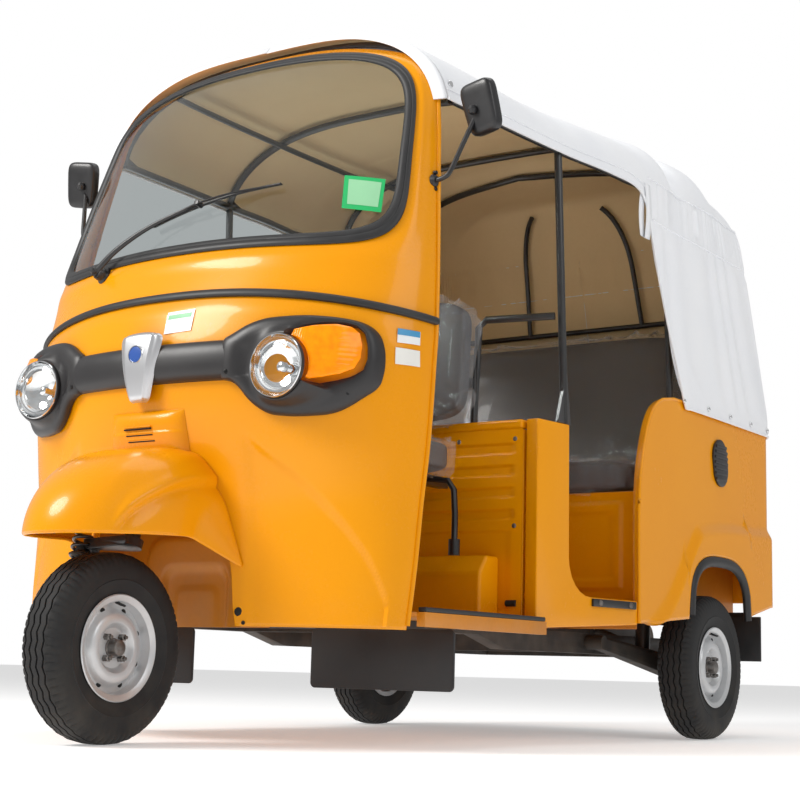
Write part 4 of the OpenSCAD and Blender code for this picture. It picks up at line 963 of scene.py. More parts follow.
# ----------------------------------------------------------------- wheels
# Ribbed tyres on pressed-steel discs held by four nuts; the front one turns
# in a single trailing arm with a coil spring beside it.
tyre_rubber = finish("tyre_rubber", (0.013, 0.013, 0.014), (0.030, 0.029, 0.027), 0.6, 25, 0.62,
                     0.12, {"Specular_IOR_Level": 0.35}, (350, 0.12, 0.2), (0.25, 0.10))
wheel_silver = finish("wheel_silver", (0.62, 0.63, 0.64), (0.54, 0.55, 0.56), 0.5, 25, 0.30, 0.10,
                      {"Metallic": 0.45}, (300, 0.03, 0.0), (0.2, 0.12))
nut_steel = finish("nut_steel", (0.22, 0.21, 0.20), (0.12, 0.10, 0.09), 0.6, 90, 0.40, 0.15,
                   {"Metallic": 0.9}, None)
# Half the tyre's section, from its bead to the middle of the tread
TREAD = [(0.1183, -0.046), (0.128, -0.0475), (0.135, -0.050), (0.146, -0.0548), (0.161, -0.058),
         (0.163, -0.0592), (0.165, -0.058), (0.178, -0.0585), (0.192, -0.0578), (0.204, -0.056),
         (0.212, -0.0530), (0.2175, -0.0490), (0.2210, -0.0450), (0.2240, -0.0410),
         (0.2262, -0.0370), (0.2275, -0.0335), (0.2278, -0.0315), (0.2225, -0.0305),
         (0.2225, -0.0275), (0.2285, -0.0265), (0.2292, -0.0220), (0.2296, -0.0150),
         (0.2297, -0.0125), (0.2240, -0.0115), (0.2240, -0.0080), (0.2298, -0.0070),
         (0.2300, -0.0035), (0.2300, 0.0)]
TREAD = TREAD + [(r, -h) for r, h in TREAD[-2::-1]]


def tread_shape(q, r, h):
    """Zigzag grooves in the tread, and notches in its shoulders."""
    wave = 0.0018 * math.asin(math.sin(36 * q)) if 0.222 < r and abs(h) < 0.034 else 0.0
    if abs(h) > 0.036 and 0.203 < r:
        cut = 0.5 + 0.5 * math.sin(72 * q + (1.2 if h > 0 else 0.0))
        r -= 0.0032 * ease((cut - 0.72) / 0.16)
    return r, h + wave


DISC = [(0.1175, -0.042), (0.1180, -0.046), (0.1275, -0.049), (0.1290, -0.051), (0.1275, -0.0535),
        (0.113, -0.049), (0.111, -0.020), (0.102, -0.010), (0.102, 0.008), (0.096, 0.016),
        (0.088, 0.023), (0.083, 0.033), (0.078, 0.0365), (0.070, 0.038), (0.060, 0.0375),
        (0.056, 0.033), (0.052, 0.026), (0.048, 0.0235), (0.0155, 0.0235), (0.0155, 0.029),
        (0.048, 0.0290), (0.053, 0.0325), (0.057, 0.0400), (0.061, 0.0438), (0.070, 0.0448),
        (0.080, 0.0430), (0.085, 0.0385), (0.090, 0.0295), (0.098, 0.0235), (0.108, 0.0225),
        (0.1095, 0.030), (0.112, 0.048), (0.117, 0.0515), (0.1265, 0.0545), (0.1290, 0.0520),
        (0.1275, 0.0495), (0.1180, 0.0460)]
NUT = [(0.0, 0.017), (0.0062, 0.0168), (0.0085, 0.0152), (0.0085, 0.0)]
STUD = [(0.0, 0.023), (0.0045, 0.0225), (0.005, 0.010)]
HUB_CAP = [(0.0, 0.031), (0.012, 0.0305), (0.0185, 0.0275), (0.0205, 0.0220), (0.0215, 0.006),
           (0.0240, 0.004), (0.0240, 0.0)]
VENT = [(0.0, 0.0012), (0.0055, 0.0012), (0.0075, 0.0004), (0.0080, -0.001)]
WHEEL_R, REAR_AXLE, REAR_HALF = 0.230, 2.090, 0.640
NUT_RING, VENT_RING = 0.036, 0.0935
for where, x, y in (("front", 0.0, 0.0), ("rear_left", REAR_HALF, REAR_AXLE),
                    ("rear_right", -REAR_HALF, REAR_AXLE)):
    body, out = where + "_wheel", -1 if where == "rear_right" else 1
    hub, axis = (x, y, WHEEL_R), (out, 0, 0)

    def round_hub(angle, ring, off):
        q = math.radians(angle)
        return x + out * off, y + ring * math.sin(q), WHEEL_R + ring * math.cos(q)
    tyre = lathe(where + "_tread", TREAD, hub, (1, 0, 0), tyre_rubber, body, "tyre_rubber",
                 around=288, sharp=28, shape=tread_shape)
    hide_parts(where + "_tyre")
    rim = lathe(where + "_disc", DISC, hub, axis, wheel_silver, body, "rim_metal", around=96,
                sharp=32, closed=True)
    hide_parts(where + "_rim")
    for k in range(4):
        at = round_hub(45 + 90 * k, NUT_RING, 0.0285)
        lathe("%s_nut_%d" % (where, k), NUT, at, axis, nut_steel, body, "rim_metal", around=6,
              sharp=20)
        lathe("%s_stud_%d" % (where, k), STUD, at, axis, nut_steel, body, "rim_metal", around=16)
    lathe(where + "_hub_cap", HUB_CAP, (x + out * 0.0275, y, WHEEL_R), axis, nut_steel, body,
          "rim_metal", around=40)
    # Painted shade: dark discs stand for the vent holes in the disc
    for k in range(8):
        lathe("%s_vent_%d" % (where, k), VENT, round_hub(22.5 + 45 * k, VENT_RING, 0.0262), axis,
              hole_shade_black, body, "rim_metal", around=16)
    valve = [(x + out * off, y + 0.004, WHEEL_R + up) for off, up in
             ((0.030, 0.110), (0.046, 0.104), (0.060, 0.100))]
    tube(where + "_valve", valve, [0.0042, 0.0036, 0.0030], black_rubber, body, "tyre_rubber")


def soften(made, edge, segments, angle):
    """Rounds the edges that are sharper than an angle."""
    soft = made.modifiers.new("edge", "BEVEL")
    soft.width, soft.segments, soft.harden_normals = edge, segments, True
    soft.limit_method = "ANGLE"
    soft.angle_limit = math.radians(angle)


def dress(node, material, body="body", edge=0.002, segments=2, angle=35):
    """A finished skin for a plain CAD piece: the same shape with its edges rounded."""
    made = bpy.data.objects.new(node + "_skin", bpy.data.objects[node].data.copy())
    made.matrix_world = bpy.data.objects[node].matrix_world
    bpy.context.scene.collection.objects.link(made)
    weld(made.data, 0.00002, turn_out=False, flatten=1.0)
    made.data.materials.clear()
    made.data.materials.append(material)
    made.data.shade_smooth()
    if edge:
        soften(made, edge, segments, angle)
    else:
        made.data.set_sharp_from_angle(angle=math.radians(angle))
    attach(made, body)
    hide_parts(node)
    return made


frame_black = finish("frame_black", (0.014, 0.014, 0.015), (0.03, 0.028, 0.026), 0.5, 16, 0.30,
                     0.10, {"Coat_Weight": 0.4, "Coat_Roughness": 0.15}, (300, 0.03, 0.0),
                     (0.5, 0.10))
under_black = finish("under_black", (0.020, 0.019, 0.018), (0.06, 0.05, 0.04), 0.6, 12, 0.55, 0.15,
                     None, (160, 0.15, 0.0), (0.6, 0.30))
dress("fork_arm", frame_black, "steering", 0.0, angle=30)
dress("steering_column", frame_black, "steering", 0.0, angle=30)
spring_foot, spring_head = Vector((-0.126, -0.006, 0.290)), Vector((-0.126, 0.034, 0.486))
way, across = spring_head - spring_foot, Vector((1, 0, 0))
side_way = way.cross(across).normalized()
COIL_R, COIL_POINTS = 0.0215, 240
coil = [tuple(spring_foot + way * (0.17 + 1.02 * k / COIL_POINTS)
              + across * COIL_R * math.cos(k * math.pi / 12)
              + side_way * COIL_R * math.sin(k * math.pi / 12)) for k in range(COIL_POINTS + 1)]
spring = tube("front_spring_coil", coil, 0.0048, frame_black, "steering", "black_steel", sides=10)
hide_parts("front_damper")
length = way.length
lathe("front_damper_body", [(0.0, 0.0), (0.010, 0.0), (0.013, 0.004), (0.015, 0.012),
                            (0.0155, length * 0.14), (0.0270, length * 0.15),
                            (0.0275, length * 0.17), (0.0155, length * 0.18),
                            (0.0150, length * 0.55), (0.0090, length * 0.57),
                            (0.0085, length * 0.83), (0.0270, length * 0.84),
                            (0.0270, length * 0.86), (0.0130, length * 0.87), (0.0120, length),
                            (0.0, length)], tuple(spring_foot), tuple(way), under_black,
      "steering", "black_steel", around=40)

# -------------------------------------------------------- driver's place
# The cab floor, its sills and the partition behind the driver are pressed
# steel; the bench is foam in a black vinyl cover, still in its clear wrap.
dress("dashboard", mask_plastic, edge=0.004, segments=3)
# The floor takes the darker orange, painted shade
dress("floor_pan", enamel_shaded, edge=0.002)
dress("entry_edging", black_rubber, edge=0.003, segments=3)
dress("seat_box", enamel, edge=0.010, segments=4)
dress("entry_posts", enamel, edge=0.0045, segments=3)
dress("step_plates", satin_black, edge=0.0018)
dress("handlebar", satin_black, "steering", 0.0, angle=30)
dress("seat_frame", frame_black, edge=0.0015)
dress("hand_lever", satin_black, edge=0.0, angle=30)
STEP_BOLT = [(0.0, 0.006), (0.005, 0.0055), (0.0085, 0.002), (0.009, 0.0)]
STEP_TURN = math.radians(8)               # the entrance widens towards the rear by this angle
for side, letter in ((1, "l"), (-1, "r")):
    for k, a in enumerate((0.180, 0.262)):
        tube("grip_ridge_%s_%d" % (letter, k), [(side * a, 0.380 + 0.003 * k, 1.0745 - 0.0008 * k),
                                               (side * (a + 0.004), 0.3802 + 0.003 * k, 1.0743)],
             0.0195, black_rubber, "steering", "seal_rubber", sides=20)
    for k, along in enumerate((0.295, 0.450)):
        at = (side * (0.6268 + along * math.sin(STEP_TURN) * 0.99),
              1.0305 + along * math.cos(STEP_TURN), 0.400)
        lathe("step_bolt_%s_%d" % (letter, k), STEP_BOLT, at,
              (side * math.cos(STEP_TURN), -math.sin(STEP_TURN), 0), nut_steel, slot="black_steel",
              around=20)


def partition_face(u, v):
    """Four pressed ribs above, and a shallow panel below."""
    x, z = -0.570 + 1.140 * u, 0.3355 + 0.5385 * v
    depth = 0.0
    for k in range(4):
        depth = max(depth, ease((0.0165 - abs(z - (0.633 + 0.062 * k))) / 0.007))
    depth *= ease((0.545 - abs(x)) / 0.012)
    low_panel = ease((0.590 - z) / 0.008) * ease((z - 0.36) / 0.008) * ease((0.530
                                                                             - abs(x)) / 0.010)
    return x, 1.030 + 0.0068 * depth + 0.003 * low_panel, z


wall = sheet("partition_press", partition_face, 120, 200, enamel, slot="cab_paint", thick=0.0)
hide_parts("partition")


def slab(name, outline, axis, start, stop, material, body="body", slot=None, edge=0.003,
         segments=3):
    """An outline drawn across an axis and carried along it, with its edges rounded."""
    def at(p, w):
        return {"x": (w, p[0], p[1]), "y": (p[0], w, p[1]), "z": (p[0], p[1], w)}[axis]
    n = len(outline)
    points = [at(p, start) for p in outline] + [at(p, stop) for p in outline]
    faces = [tuple(range(n))[::-1], tuple(range(n, 2 * n))] + [
        (k, (k + 1) % n, n + (k + 1) % n, n + k) for k in range(n)]
    made = build(name, points, faces, material, body, slot, smooth=False)
    weld(made.data)
    made.data.shade_smooth()
    soften(made, edge, segments, 32)
    return made


slab("partition_core", [(-0.569, 0.336), (0.569, 0.336), (0.569, 0.872), (-0.569, 0.872)], "y",
     1.0385, 1.0575, enamel, slot="cab_paint")
slab("partition_rail", [(-0.570, 0.874), (0.570, 0.874), (0.570, 0.900), (-0.570, 0.900)], "y",
     1.0242, 1.0638, enamel, slot="cab_paint", edge=0.008, segments=4)
for side, label in ((1, "left"), (-1, "right")):
    for k, (x, z) in enumerate(((0.545, 0.845), (0.545, 0.600), (0.360, 0.845))):
        lathe("partition_screw_%s_%d" % (label, k), [(0.0, 0.0030), (0.004, 0.0028),
                                                     (0.0065, 0.0008), (0.007, 0.0)],
              (side * x, 1.0300, z), (0, -1, 0), nut_steel, slot="black_steel", around=20)
    # Painted shade: a dark bar stands for the slot
    tube("partition_slot_" + label, [(side * 0.525, 1.0292, 0.385), (side * 0.555, 1.0292, 0.385)],
         0.010, hole_shade_black, slot="trim_plastic", squash=0.9, upright=(0, 0, 1))

vinyl = finish("vinyl_cover", (0.035, 0.034, 0.036), (0.05, 0.048, 0.05), 0.5, 10, 0.45, 0.10,
               None, (700, 0.15, 0.7))
wrap_film = finish("wrap_film", (0.75, 0.76, 0.78), (0.60, 0.61, 0.63), 0.5, 30, 0.10, 0.08,
                   {"Alpha": 0.13, "IOR": 1.8, "Coat_Weight": 1.0, "Coat_Roughness": 0.03},
                   (120, 0.9, 0.0))


def cushion(name, centre, size, tilt_back, node, seams):
    """A crowned pad with sewn channels at the seams, and the loose film wrapped round it."""
    turn = Matrix.Rotation(math.radians(-tilt_back), 3, "X")
    flat_axis = 2 if size[2] < size[1] else 1

    def bend(p):
        swell = 1 - (p[0] / size[0]) ** 4
        other = 1 if flat_axis == 2 else 2
        swell *= 1 - (p[other] / size[other]) ** 4
        groove = sum(math.exp(-((p[0] - s) / 0.010) ** 2) for s in seams)
        on_face = 1 if abs(p[flat_axis]) > size[flat_axis] * 0.5 else 0
        q = list(p)
        q[flat_axis] += math.copysign(1, p[flat_axis]) * (
            0.010 * max(0, swell) - 0.008 * groove * on_face)
        q[flat_axis] += noise.noise(Vector(p) * 7.0) * 0.004
        return q
    made = pillow(name, centre, size, 7.0, vinyl, slot="seat_cover", turn=turn, bend=bend, n=112)
    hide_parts(node)

    def crinkle(p):
        q = bend(p)
        v = Vector(p)
        ridge_a = 1 - abs(noise.noise(v * 13.0 + Vector((3, 1, 7)))) * 2
        ridge_b = 1 - abs(noise.noise(v * 31.0 + Vector((9, 4, 2)))) * 2
        puff = 0.0045 + 0.013 * max(0.0, ridge_a) ** 3 + 0.006 * max(0.0, ridge_b) ** 2
        return [c + math.copysign(puff, c) * min(1.0, abs(c) / (0.5 * s)) for c, s in zip(q, size)]
    film = pillow(name + "_film", centre, tuple(s * 1.004 for s in size), 6.0, wrap_film,
                  slot="seat_cover", turn=turn, bend=crinkle, n=150)
    return film


films = [cushion("driver_cushion", (0, 0.760, 0.787), (0.405, 0.196, 0.042), 0, "driver_seat",
                 (-0.14, 0.14)),
         cushion("driver_rest", (0, 0.996, 1.080), (0.402, 0.033, 0.176), 5, "driver_backrest",
                 (-0.14, 0.14)),
         cushion("bench_cushion", (0, 1.805, 0.808), (0.612, 0.220, 0.048), 0, "passenger_seat",
                 (-0.2, 0.2)),
         cushion("bench_rest", (0, 2.160, 1.062), (0.612, 0.042, 0.305), 12, "passenger_backrest",
                 (-0.2, 0.2))]

# --------------------------------------------------------------- rear tub
# Pressed-steel sides with a swage over the wheel arch, a deck under the
# bench, a flat back with the engine hatch, and rubber trim on the arches.


TUB_FRONT, TUB_BACK, TUB_TOP, TUB_CORNER = 1.530, 2.608, 1.062, 0.085
TUB_SIDE_END = TUB_BACK - TUB_CORNER


def tub_foot(y):
    """Height of the side's lower edge, with the arch over the wheel."""
    d = abs(y - REAR_AXLE) / 0.250
    if d < 1:
        return mix(0.395, 0.585, (1 - d ** 3) ** (1 / 2.6))
    rows = [(TUB_FRONT, 0.350), (1.840, 0.376)] if y < 1.9 else [(2.340, 0.405), (TUB_BACK, 0.460)]
    return mix(rows[0][1], rows[1][1], max(0,
                                           min(1, (y - rows[0][0]) / (rows[1][0] - rows[0][0]))))


# How far the front edge leans back, by height, and the height of the swage along y
TUB_LEAN = [(0.415, 0.0), (0.750, 0.002), (0.900, 0.036), (1.000, 0.090), (1.050, 0.170),
            (TUB_TOP, 0.250)]
SWAGE = [(TUB_FRONT, 0.300), (1.720, 0.420), (1.850, 0.560), (1.960, 0.660), (TUB_BACK, 0.700)]
SWAGE_OUT = 0.022


def tub_side(u, s, inward=0.0, side=1):
    """Point of a side from its front edge, u = 0, round the rear corner, and from foot to top."""
    yn, a = mix(TUB_FRONT, TUB_SIDE_END, min(1, u / 0.85)), max(0, (u - 0.85) / 0.15) * math.pi / 2
    z = mix(tub_foot(yn), TUB_TOP, s)
    f = 1 - min(1, u / 0.85)
    y = yn + table(z, TUB_LEAN) * f * f
    k = max(0.0, min(1.0, (table(y, SWAGE) - z) / 0.040 + 0.5))
    r = TUB_CORNER - inward
    flat = mix(0.692, 0.698, min(1, u / 0.85))
    x = flat + SWAGE_OUT * (ease(k) + 0.5 * (k - ease(k))) * (1 - a * 2 / math.pi)
    return side * (x - TUB_CORNER + r * math.cos(a)), y + r * math.sin(a), z


for side, label in ((1, "left"), (-1, "right")):
    tub = sheet("tub_skin_" + label, lambda u, v, s=side: tub_side(u, v, 0.0, s), 150, 72, enamel,
                slot="cab_paint", thick=0.023, flip=side < 0, sharp=50)
    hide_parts("tub_side_" + label)
    edge = [tub_side(0.0, k / 50, 0.003, side) for k in range(51)] + [
        tub_side(0.85 * k / 40, 1.0, 0.003, side) for k in range(1, 41)]
    tube("tub_bead_" + label, edge, 0.0055, enamel, slot="cab_paint", sides=10)
    arch = [(side * 0.711, REAR_AXLE + (2 * k / 48 - 1) * 0.2325,
             mix(0.388, 0.568, max(0.0, 1 - abs(2 * k / 48 - 1) ** 3) ** (1 / 2.6)))
            for k in range(49)]
    trim = tube("arch_rubber_" + label, arch, 0.0175, black_rubber, slot="flap_rubber", sides=16,
                squash=0.72, upright=(1, 0, 0))
    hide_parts("arch_trims")
dress("tub_back", enamel, edge=0.003)
dress("engine_hatch", enamel, "hatch", 0.002)
# The seat base takes the darker orange, painted shade
dress("seat_base", enamel_shaded, edge=0.002)
dress("side_vents", satin_black, edge=0.0018)
red_lens = finish("red_lens", (0.45, 0.008, 0.006), (0.38, 0.004, 0.004), 0.5, 30, 0.12, 0.08,
                  {"Coat_Weight": 0.6}, (900, 0.25, 0.8))
dress("tail_lamps", red_lens, edge=0.004, segments=3)
dress("mudflaps", black_rubber, edge=0.002)
dress("chassis_frame", under_black, edge=0.002)
dress("engine", under_black, edge=0.012, segments=3)
dress("rear_arms", under_black, edge=0.0, angle=30)
dress("rear_dampers", frame_black, edge=0.0, angle=30)
exhaust = finish("exhaust_steel", (0.10, 0.085, 0.07), (0.20, 0.13, 0.08), 0.6, 15, 0.5, 0.2,
                 {"Metallic": 0.8}, (150, 0.15, 0.0))
dress("silencer", exhaust, edge=0.0, angle=30)


def riser_face(u, v):
    """The pressed panel under the bench, with a raised ring."""
    x, z = -0.640 + 1.28 * u, 0.420 + 0.332 * v
    inside = min(0.600 - abs(x), z - 0.450, 0.725 - z)
    ring = ease(inside / 0.010) - 0.7 * ease((inside - 0.030) / 0.012)
    return x, 1.6045 - 0.007 * ring, z


sheet("riser_press", riser_face, 150, 60, enamel, slot="cab_paint")

# ----------------------------------------------------------------- canopy
# White coated cloth, tan inside, stretched over painted steel tubes. The
# roof and the rear curtain meet in a gathered band behind the entrance.
cloth = finish("canopy_white", (0.88, 0.89, 0.91), (0.80, 0.82, 0.86), 0.5, 5, 0.55, 0.10,
               {"Specular_IOR_Level": 0.35, "Sheen_Weight": 0.15}, (900, 0.10, 0.6))
lining = finish("canopy_lining", (0.86, 0.66, 0.37), (0.78, 0.58, 0.31), 0.6, 4, 0.75, 0.10,
                {"Specular_IOR_Level": 0.25}, (900, 0.15, 0.6))
# The canopy starts at CANOPY_FRONT and its ridge lies under CANOPY_TOP by RIDGE
# along y; the curtain hangs over the tub's top by HEM_OUT. PLAN is the wall's half
# width and EDGE its lower edge along y; the roof starts WALL_DROP below the ridge.
CANOPY_FRONT, CANOPY_TOP, WALL_DROP, CURTAIN_FOOT = 0.548, 1.985, 0.255, 1.040
RIDGE = [(0.500, 0.046), (0.770, 0.050), (1.220, 0.038), (1.590, 0.018), (1.840, 0.0),
         (2.100, 0.003), (2.300, 0.022), (2.640, 0.055)]
HEM_OUT = 0.0055
HEM_BACK, HEM_HALF, HEM_R = TUB_BACK + HEM_OUT, 0.698 + HEM_OUT, TUB_CORNER + HEM_OUT
PLAN = [(CANOPY_FRONT, 0.604), (1.100, 0.636), (1.660, 0.684), (1.900, HEM_HALF),
        (2.640, HEM_HALF)]
EDGE = [(CANOPY_FRONT, 1.682), (1.150, 1.692), (1.400, 1.700), (1.560, 1.690), (1.620, 1.640),
        (1.690, 1.450), (1.790, 1.180), (1.840, 1.045), (1.870, CURTAIN_FOOT)]
CURTAIN_LEAN = [(1.090, 0.0), (1.600, 0.125), (1.800, 0.185), (CANOPY_TOP, 0.250)]
ROOF_SEAM, BAND_SEAM = 1.752, 1.618
SIDE_S, CORNER_S, ROOF_T = 0.7, 0.88, 0.45      # where the side, the corner and the wall end
SPINE_Y = 1.800
SPINE_S = SIDE_S * (SPINE_Y - CANOPY_FRONT) / (HEM_BACK - HEM_R - CANOPY_FRONT)


def canopy_point(s, t, inset=0.0, folds=False):
    """Point of the left half: s from the front round to the back, t up to the ridge."""
    if s < SIDE_S:
        y = mix(CANOPY_FRONT, HEM_BACK - HEM_R, s / SIDE_S)
        plan = (table(y, PLAN), y, 0.0)
    elif s < CORNER_S:
        a = (s - SIDE_S) / 0.18 * math.pi / 2
        plan = (HEM_HALF - HEM_R * (1 - math.cos(a)), HEM_BACK - HEM_R * (1 - math.sin(a)), a)
    else:
        plan = ((HEM_HALF - HEM_R) * (1 - s) / 0.12, HEM_BACK, math.pi / 2)
    edge = table(plan[1], EDGE) if s < SIDE_S else CURTAIN_FOOT
    ridge = CANOPY_TOP - table(min(plan[1], 2.420), RIDGE)
    wall = max(edge + 0.008, ridge - WALL_DROP)
    k = max(0.0, (t - ROOF_T) / 0.55) * math.pi / 2
    square_off = ease((plan[1] - 1.450) / 0.350)
    if k > 0:
        z = mix(wall, ridge, math.sin(k) ** mix(1.18, 0.9, square_off))
    else:
        z = mix(edge, wall, (t / ROOF_T) ** 1.6)
    lean = table(z, CURTAIN_LEAN) if z > 1.09 else 0.0
    inward = 1 - max(0.0, math.cos(k)) ** mix(0.62, 0.52, square_off)
    side = plan[0] - inset - 0.042 * max(0, z - 1.090) / 0.650 * ease((plan[1] - 1.500) / 0.400)
    y = plan[1] - lean * ease((plan[1] - 1.900) / 0.600) - inset * math.sin(plan[2])
    middle = y if y < SPINE_Y else SPINE_Y + 0.520 * (s - SPINE_S) / (1 - SPINE_S)
    x, y, z = side * (1 - inward), mix(y, middle, inward), z - inset * math.sin(k)
    if folds:
        # The roof sags between two bows and swells on either side of them
        over = math.sin(min(1.0, k / 1.2) * math.pi) if k > 0 else 0.0
        out = -0.034 * math.exp(-((y - 1.885) / 0.040) ** 2) * over ** 0.7
        out += over * (0.012 * math.exp(-((y - 1.760) / 0.070) ** 2)
                       + 0.014 * math.exp(-((y - 2.070) / 0.09) ** 2))
        if plan[1] > 1.60:
            # Gathers in the band, then long soft folds and one crease in the curtain
            here = plan[1] if s < SIDE_S else 2.523 + (s - SIDE_S) * 3.0
            band = ease((z - BAND_SEAM) / 0.02) * (1 - ease((z - ROOF_SEAM + 0.01) / 0.02)) * ease(
                (plan[1] - 1.64) / 0.05)
            gather = math.sin(here * 190 + 2.5 * math.sin(here * 31))
            out += band * (0.0035 + 0.0045 * gather * (0.6 + 0.4 * math.sin(here * 57)))
            below = ease((BAND_SEAM - z) / 0.03) * ease((z - 1.075) / 0.05)
            fold = 0.0040 * math.sin(here * 42 + 1.8 * math.sin(here * 11) + z * 3)
            out += below * (fold + 0.0055 * noise.noise(Vector((here * 5.0, z * 2.2, 0.3))))
            crease = math.exp(-((z - 1.25 + (here - 1.8) * 0.9) / 0.03) ** 2)
            out += below * 0.005 * crease * math.exp(-((here - 1.95) / 0.16) ** 2)
        else:
            out += 0.003 * noise.noise(Vector((y * 6, z * 9, 0.1))) * ease((z - edge) / 0.03)
        if k > 0:
            out += 0.005 * math.sin(y * 9.5 + 0.4) * over
            out += 0.004 * noise.noise(Vector((x * 4, y * 7, z * 4))) * over
        n = Vector((math.cos(k) * math.cos(plan[2]), math.cos(k) * math.sin(plan[2]), math.sin(k)))
        x, y, z = x + n.x * out, y + n.y * out, z + n.z * out
    return (max(0.0, x) if inset == 0 else x), y, z


def whole_canopy(u, v):
    """The left half, then the right half from back to front."""
    s = 2 * u if u <= 0.5 else 2 - 2 * u
    x, y, z = canopy_point(s, v, 0.0, True)
    if v > 0.999:
        x = 0.0
    return (x if u <= 0.5 else -x), y, z


skin = sheet("canopy_skin", whole_canopy, 500, 78, cloth, slot="canopy_cloth", sharp=70)
weld(skin.data, 0.0006)
skin.data.shade_smooth()
skin.data.materials.append(lining)
back_of_cloth = skin.modifiers.new("lining", "SOLIDIFY")
back_of_cloth.thickness, back_of_cloth.offset, back_of_cloth.material_offset = 0.0022, -1, 1
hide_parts("canopy")
UNDER, SPAR_UNDER = 0.019, 0.033                # tube centres under the cloth
BOW_R, SPAR_R = 0.0110, 0.0090
BOWS = (0.588, 1.128, 1.815, 2.330)


def bow_at(y, t, under=UNDER):
    """Point of the frame under the cloth, for the section whose wall is at y."""
    share = (y - CANOPY_FRONT) / (HEM_BACK - HEM_R - CANOPY_FRONT)
    return canopy_point(SIDE_S * share, mix(ROOF_T, 1.0, t), under)


def to_side(side, points):
    """Points of the left half carried to a side: 1 is left, -1 is right."""
    return [(side * x, y, z) for x, y, z in points]


for k, y in enumerate(BOWS):
    half = [bow_at(y, j / 26) for j in range(27)]
    half[-1] = (0.0, half[-1][1], half[-1][2])
    tube("canopy_bow_%d" % k, half + to_side(-1, half[-2::-1]), BOW_R, frame_black,
                      slot="black_steel", sides=14, upright=(0, 1, 0))
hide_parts("canopy_frame")
GUSSET = [(1.118, 0.9005), (1.196, 0.9005), (1.180, 0.990), (1.171, 1.050), (1.160, 1.050),
          (1.150, 0.990)]
for side, label in ((1, "left"), (-1, "right")):
    for name, height, under, radius, sides in (("rail", 0.02, UNDER, BOW_R, 14),
                                               ("spar", 0.66, SPAR_UNDER, SPAR_R, 12)):
        path = [bow_at(mix(BOWS[0], BOWS[3], j / 40), height, under) for j in range(41)]
        tube("canopy_%s_%s" % (name, label), to_side(side, path), radius, frame_black,
             slot="black_steel", sides=sides)
    for name, foot, bow, radius in (("post", (0.628, 1.166, 0.9015), BOWS[1], 0.0115),
                                    ("rear_post", (0.656, 1.825, 1.002), BOWS[2], BOW_R)):
        head = bow_at(bow, 0.02)
        tube("canopy_%s_%s" % (name, label), to_side(side, [foot, mix(foot, head, 0.5), head]),
             radius, frame_black, slot="black_steel", sides=16, upright=(0, 1, 0))
    slab("post_gusset_" + label, GUSSET, "x", side * 0.622, side * 0.634, frame_black,
         slot="black_steel", edge=0.002)
    for k, y in enumerate(BOWS):
        a, b = to_side(side, [bow_at(y, 0.10), bow_at(min(y + 0.075, 2.40), 0.02)])
        tube("bow_gusset_%s_%d" % (label, k), [a, mix(a, b, 0.5), b], 0.0060, frame_black,
             slot="black_steel", sides=8)

# A rail round the back at waist height, and two spars up from it
WAIST = 1.450
back_line = [canopy_point(0.945, j / 60, UNDER) for j in range(61)]
low_j = next(j for j in range(61) if back_line[j][2] > WAIST)
waist = [canopy_point(mix(0.50, 1.0, j / 50), low_j / 60, UNDER) for j in range(51)]
tube("canopy_waist_rail", waist + to_side(-1, waist[-2::-1]), 0.0100, frame_black,
     slot="black_steel", sides=12)
for side, label in ((1, "left"), (-1, "right")):
    tube("canopy_back_spar_" + label, to_side(side, back_line[low_j:50]), SPAR_R, frame_black,
         slot="black_steel", sides=12, upright=(1, 0, 0))

    def binding(u, v, s=side):
        x, y, z = canopy_point(0.0, u, 0.0, True)
        return s * x * (1 - 0.055 * v), y - 0.004 - 0.016 * v, z - 0.020 * v * u
    sheet("canopy_binding_" + label, binding, 60, 3, cloth, slot="canopy_cloth",
                       thick=0.0015)


def line_at(s, height):
    """Point just outside the cloth at s and a height."""
    low_t, high_t = 0.0, 0.8
    for _ in range(18):
        t = (low_t + high_t) / 2
        low_t, high_t = (t, high_t) if canopy_point(s, t)[2] < height else (low_t, t)
    p, q = canopy_point(s, low_t, 0.0, True), canopy_point(s, low_t, 0.010, False)
    away = (Vector(p) - Vector((0, q[1] - 0.35 * max(0.0, (s - 0.7) / 0.3) * 2.0,
                                p[2]))).normalized()
    return tuple(Vector(p) + away * 0.0018)


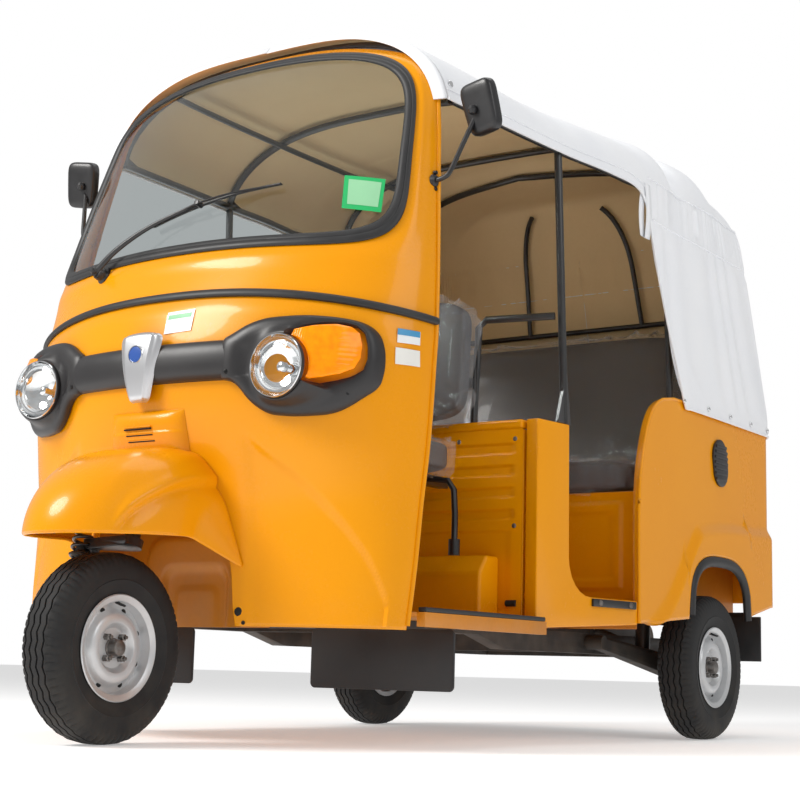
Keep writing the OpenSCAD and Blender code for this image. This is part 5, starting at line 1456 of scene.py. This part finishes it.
# Seams, hem, stitching, press studs, and the strap that ties up the rolled curtain
SNAP = [(0.0, 0.0045), (0.004, 0.0042), (0.0075, 0.002), (0.008, 0.0)]
FRONT_SNAP = [(0.0, 0.0045), (0.005, 0.0042), (0.0095, 0.002), (0.010, 0.0)]
STRAP_WIDTH = 0.036
for side, label in ((1, "left"), (-1, "right")):
    roof_seam, band_seam = ([line_at(mix(first, 1.0, j / 150), height) for j in range(151)]
                            for height, first in ((ROOF_SEAM, 0.385), (BAND_SEAM, 0.393)))
    hem = [canopy_point(mix(0.0, 1.0, j / 200), 0.0, -0.001, False) for j in range(201)]
    hem = [(x, y, z + 0.002) for x, y, z in hem]
    stitch = [line_at(mix(0.0, 0.385, j / 60), table(mix(CANOPY_FRONT, 1.62, j / 60),
                                                     EDGE) + 0.030)
              for j in range(61)]
    for name, path, radius, sides, squash in (
            ("seam_roof", roof_seam, 0.0030, 8, 0.8), ("seam_band", band_seam, 0.0030, 8, 0.8),
            ("hem", hem, 0.0042, 8, 1.0), ("stitch", stitch, 0.0016, 6, 1.0)):
        tube("canopy_%s_%s" % (name, label), to_side(side, path), radius, cloth,
                          slot="canopy_cloth", sides=sides, squash=squash)
    for j in range(9):
        x, y, z = line_at(mix(0.455, 0.97, j / 8), TUB_TOP)
        away = (1, 0, 0) if j < 5 else (0.7, 0.7, 0) if j == 5 else (0, 1, 0)
        lathe("canopy_snap_%s_%d" % (label, j), SNAP,
              (side * (x + 0.001 * away[0]), y + 0.001 * away[1], z), (side * away[0], away[1], 0),
              chrome, slot="black_steel", around=20)
    x, y, z = line_at(0.006, 1.735)
    lathe("canopy_front_snap_" + label, FRONT_SNAP, (side * (x + 0.001), y + 0.012, z),
          (side * 0.97, 0, 0.2), chrome, slot="black_steel", around=20)
    down = [(0.676, 1.610 + 0.012 * math.sin(j / 24 * math.pi), mix(1.722, 1.545, j / 24))
            for j in range(25)]
    back_up = [(0.668, 1.600 - 0.012 * math.sin(j / 24 * math.pi), mix(1.545, 1.700, j / 24))
               for j in range(1, 25)]
    loop = to_side(side, down + back_up)
    strap = build("canopy_strap_" + label,
                  [(x, y + w, z) for x, y, z in loop for w in (-STRAP_WIDTH / 2, STRAP_WIDTH / 2)],
                  [(2 * j, 2 * j + 1, 2 * j + 3, 2 * j + 2) for j in range(len(loop) - 1)], cloth,
                  slot="canopy_cloth")
    wall = strap.modifiers.new("thick", "SOLIDIFY")
    wall.thickness = 0.0015
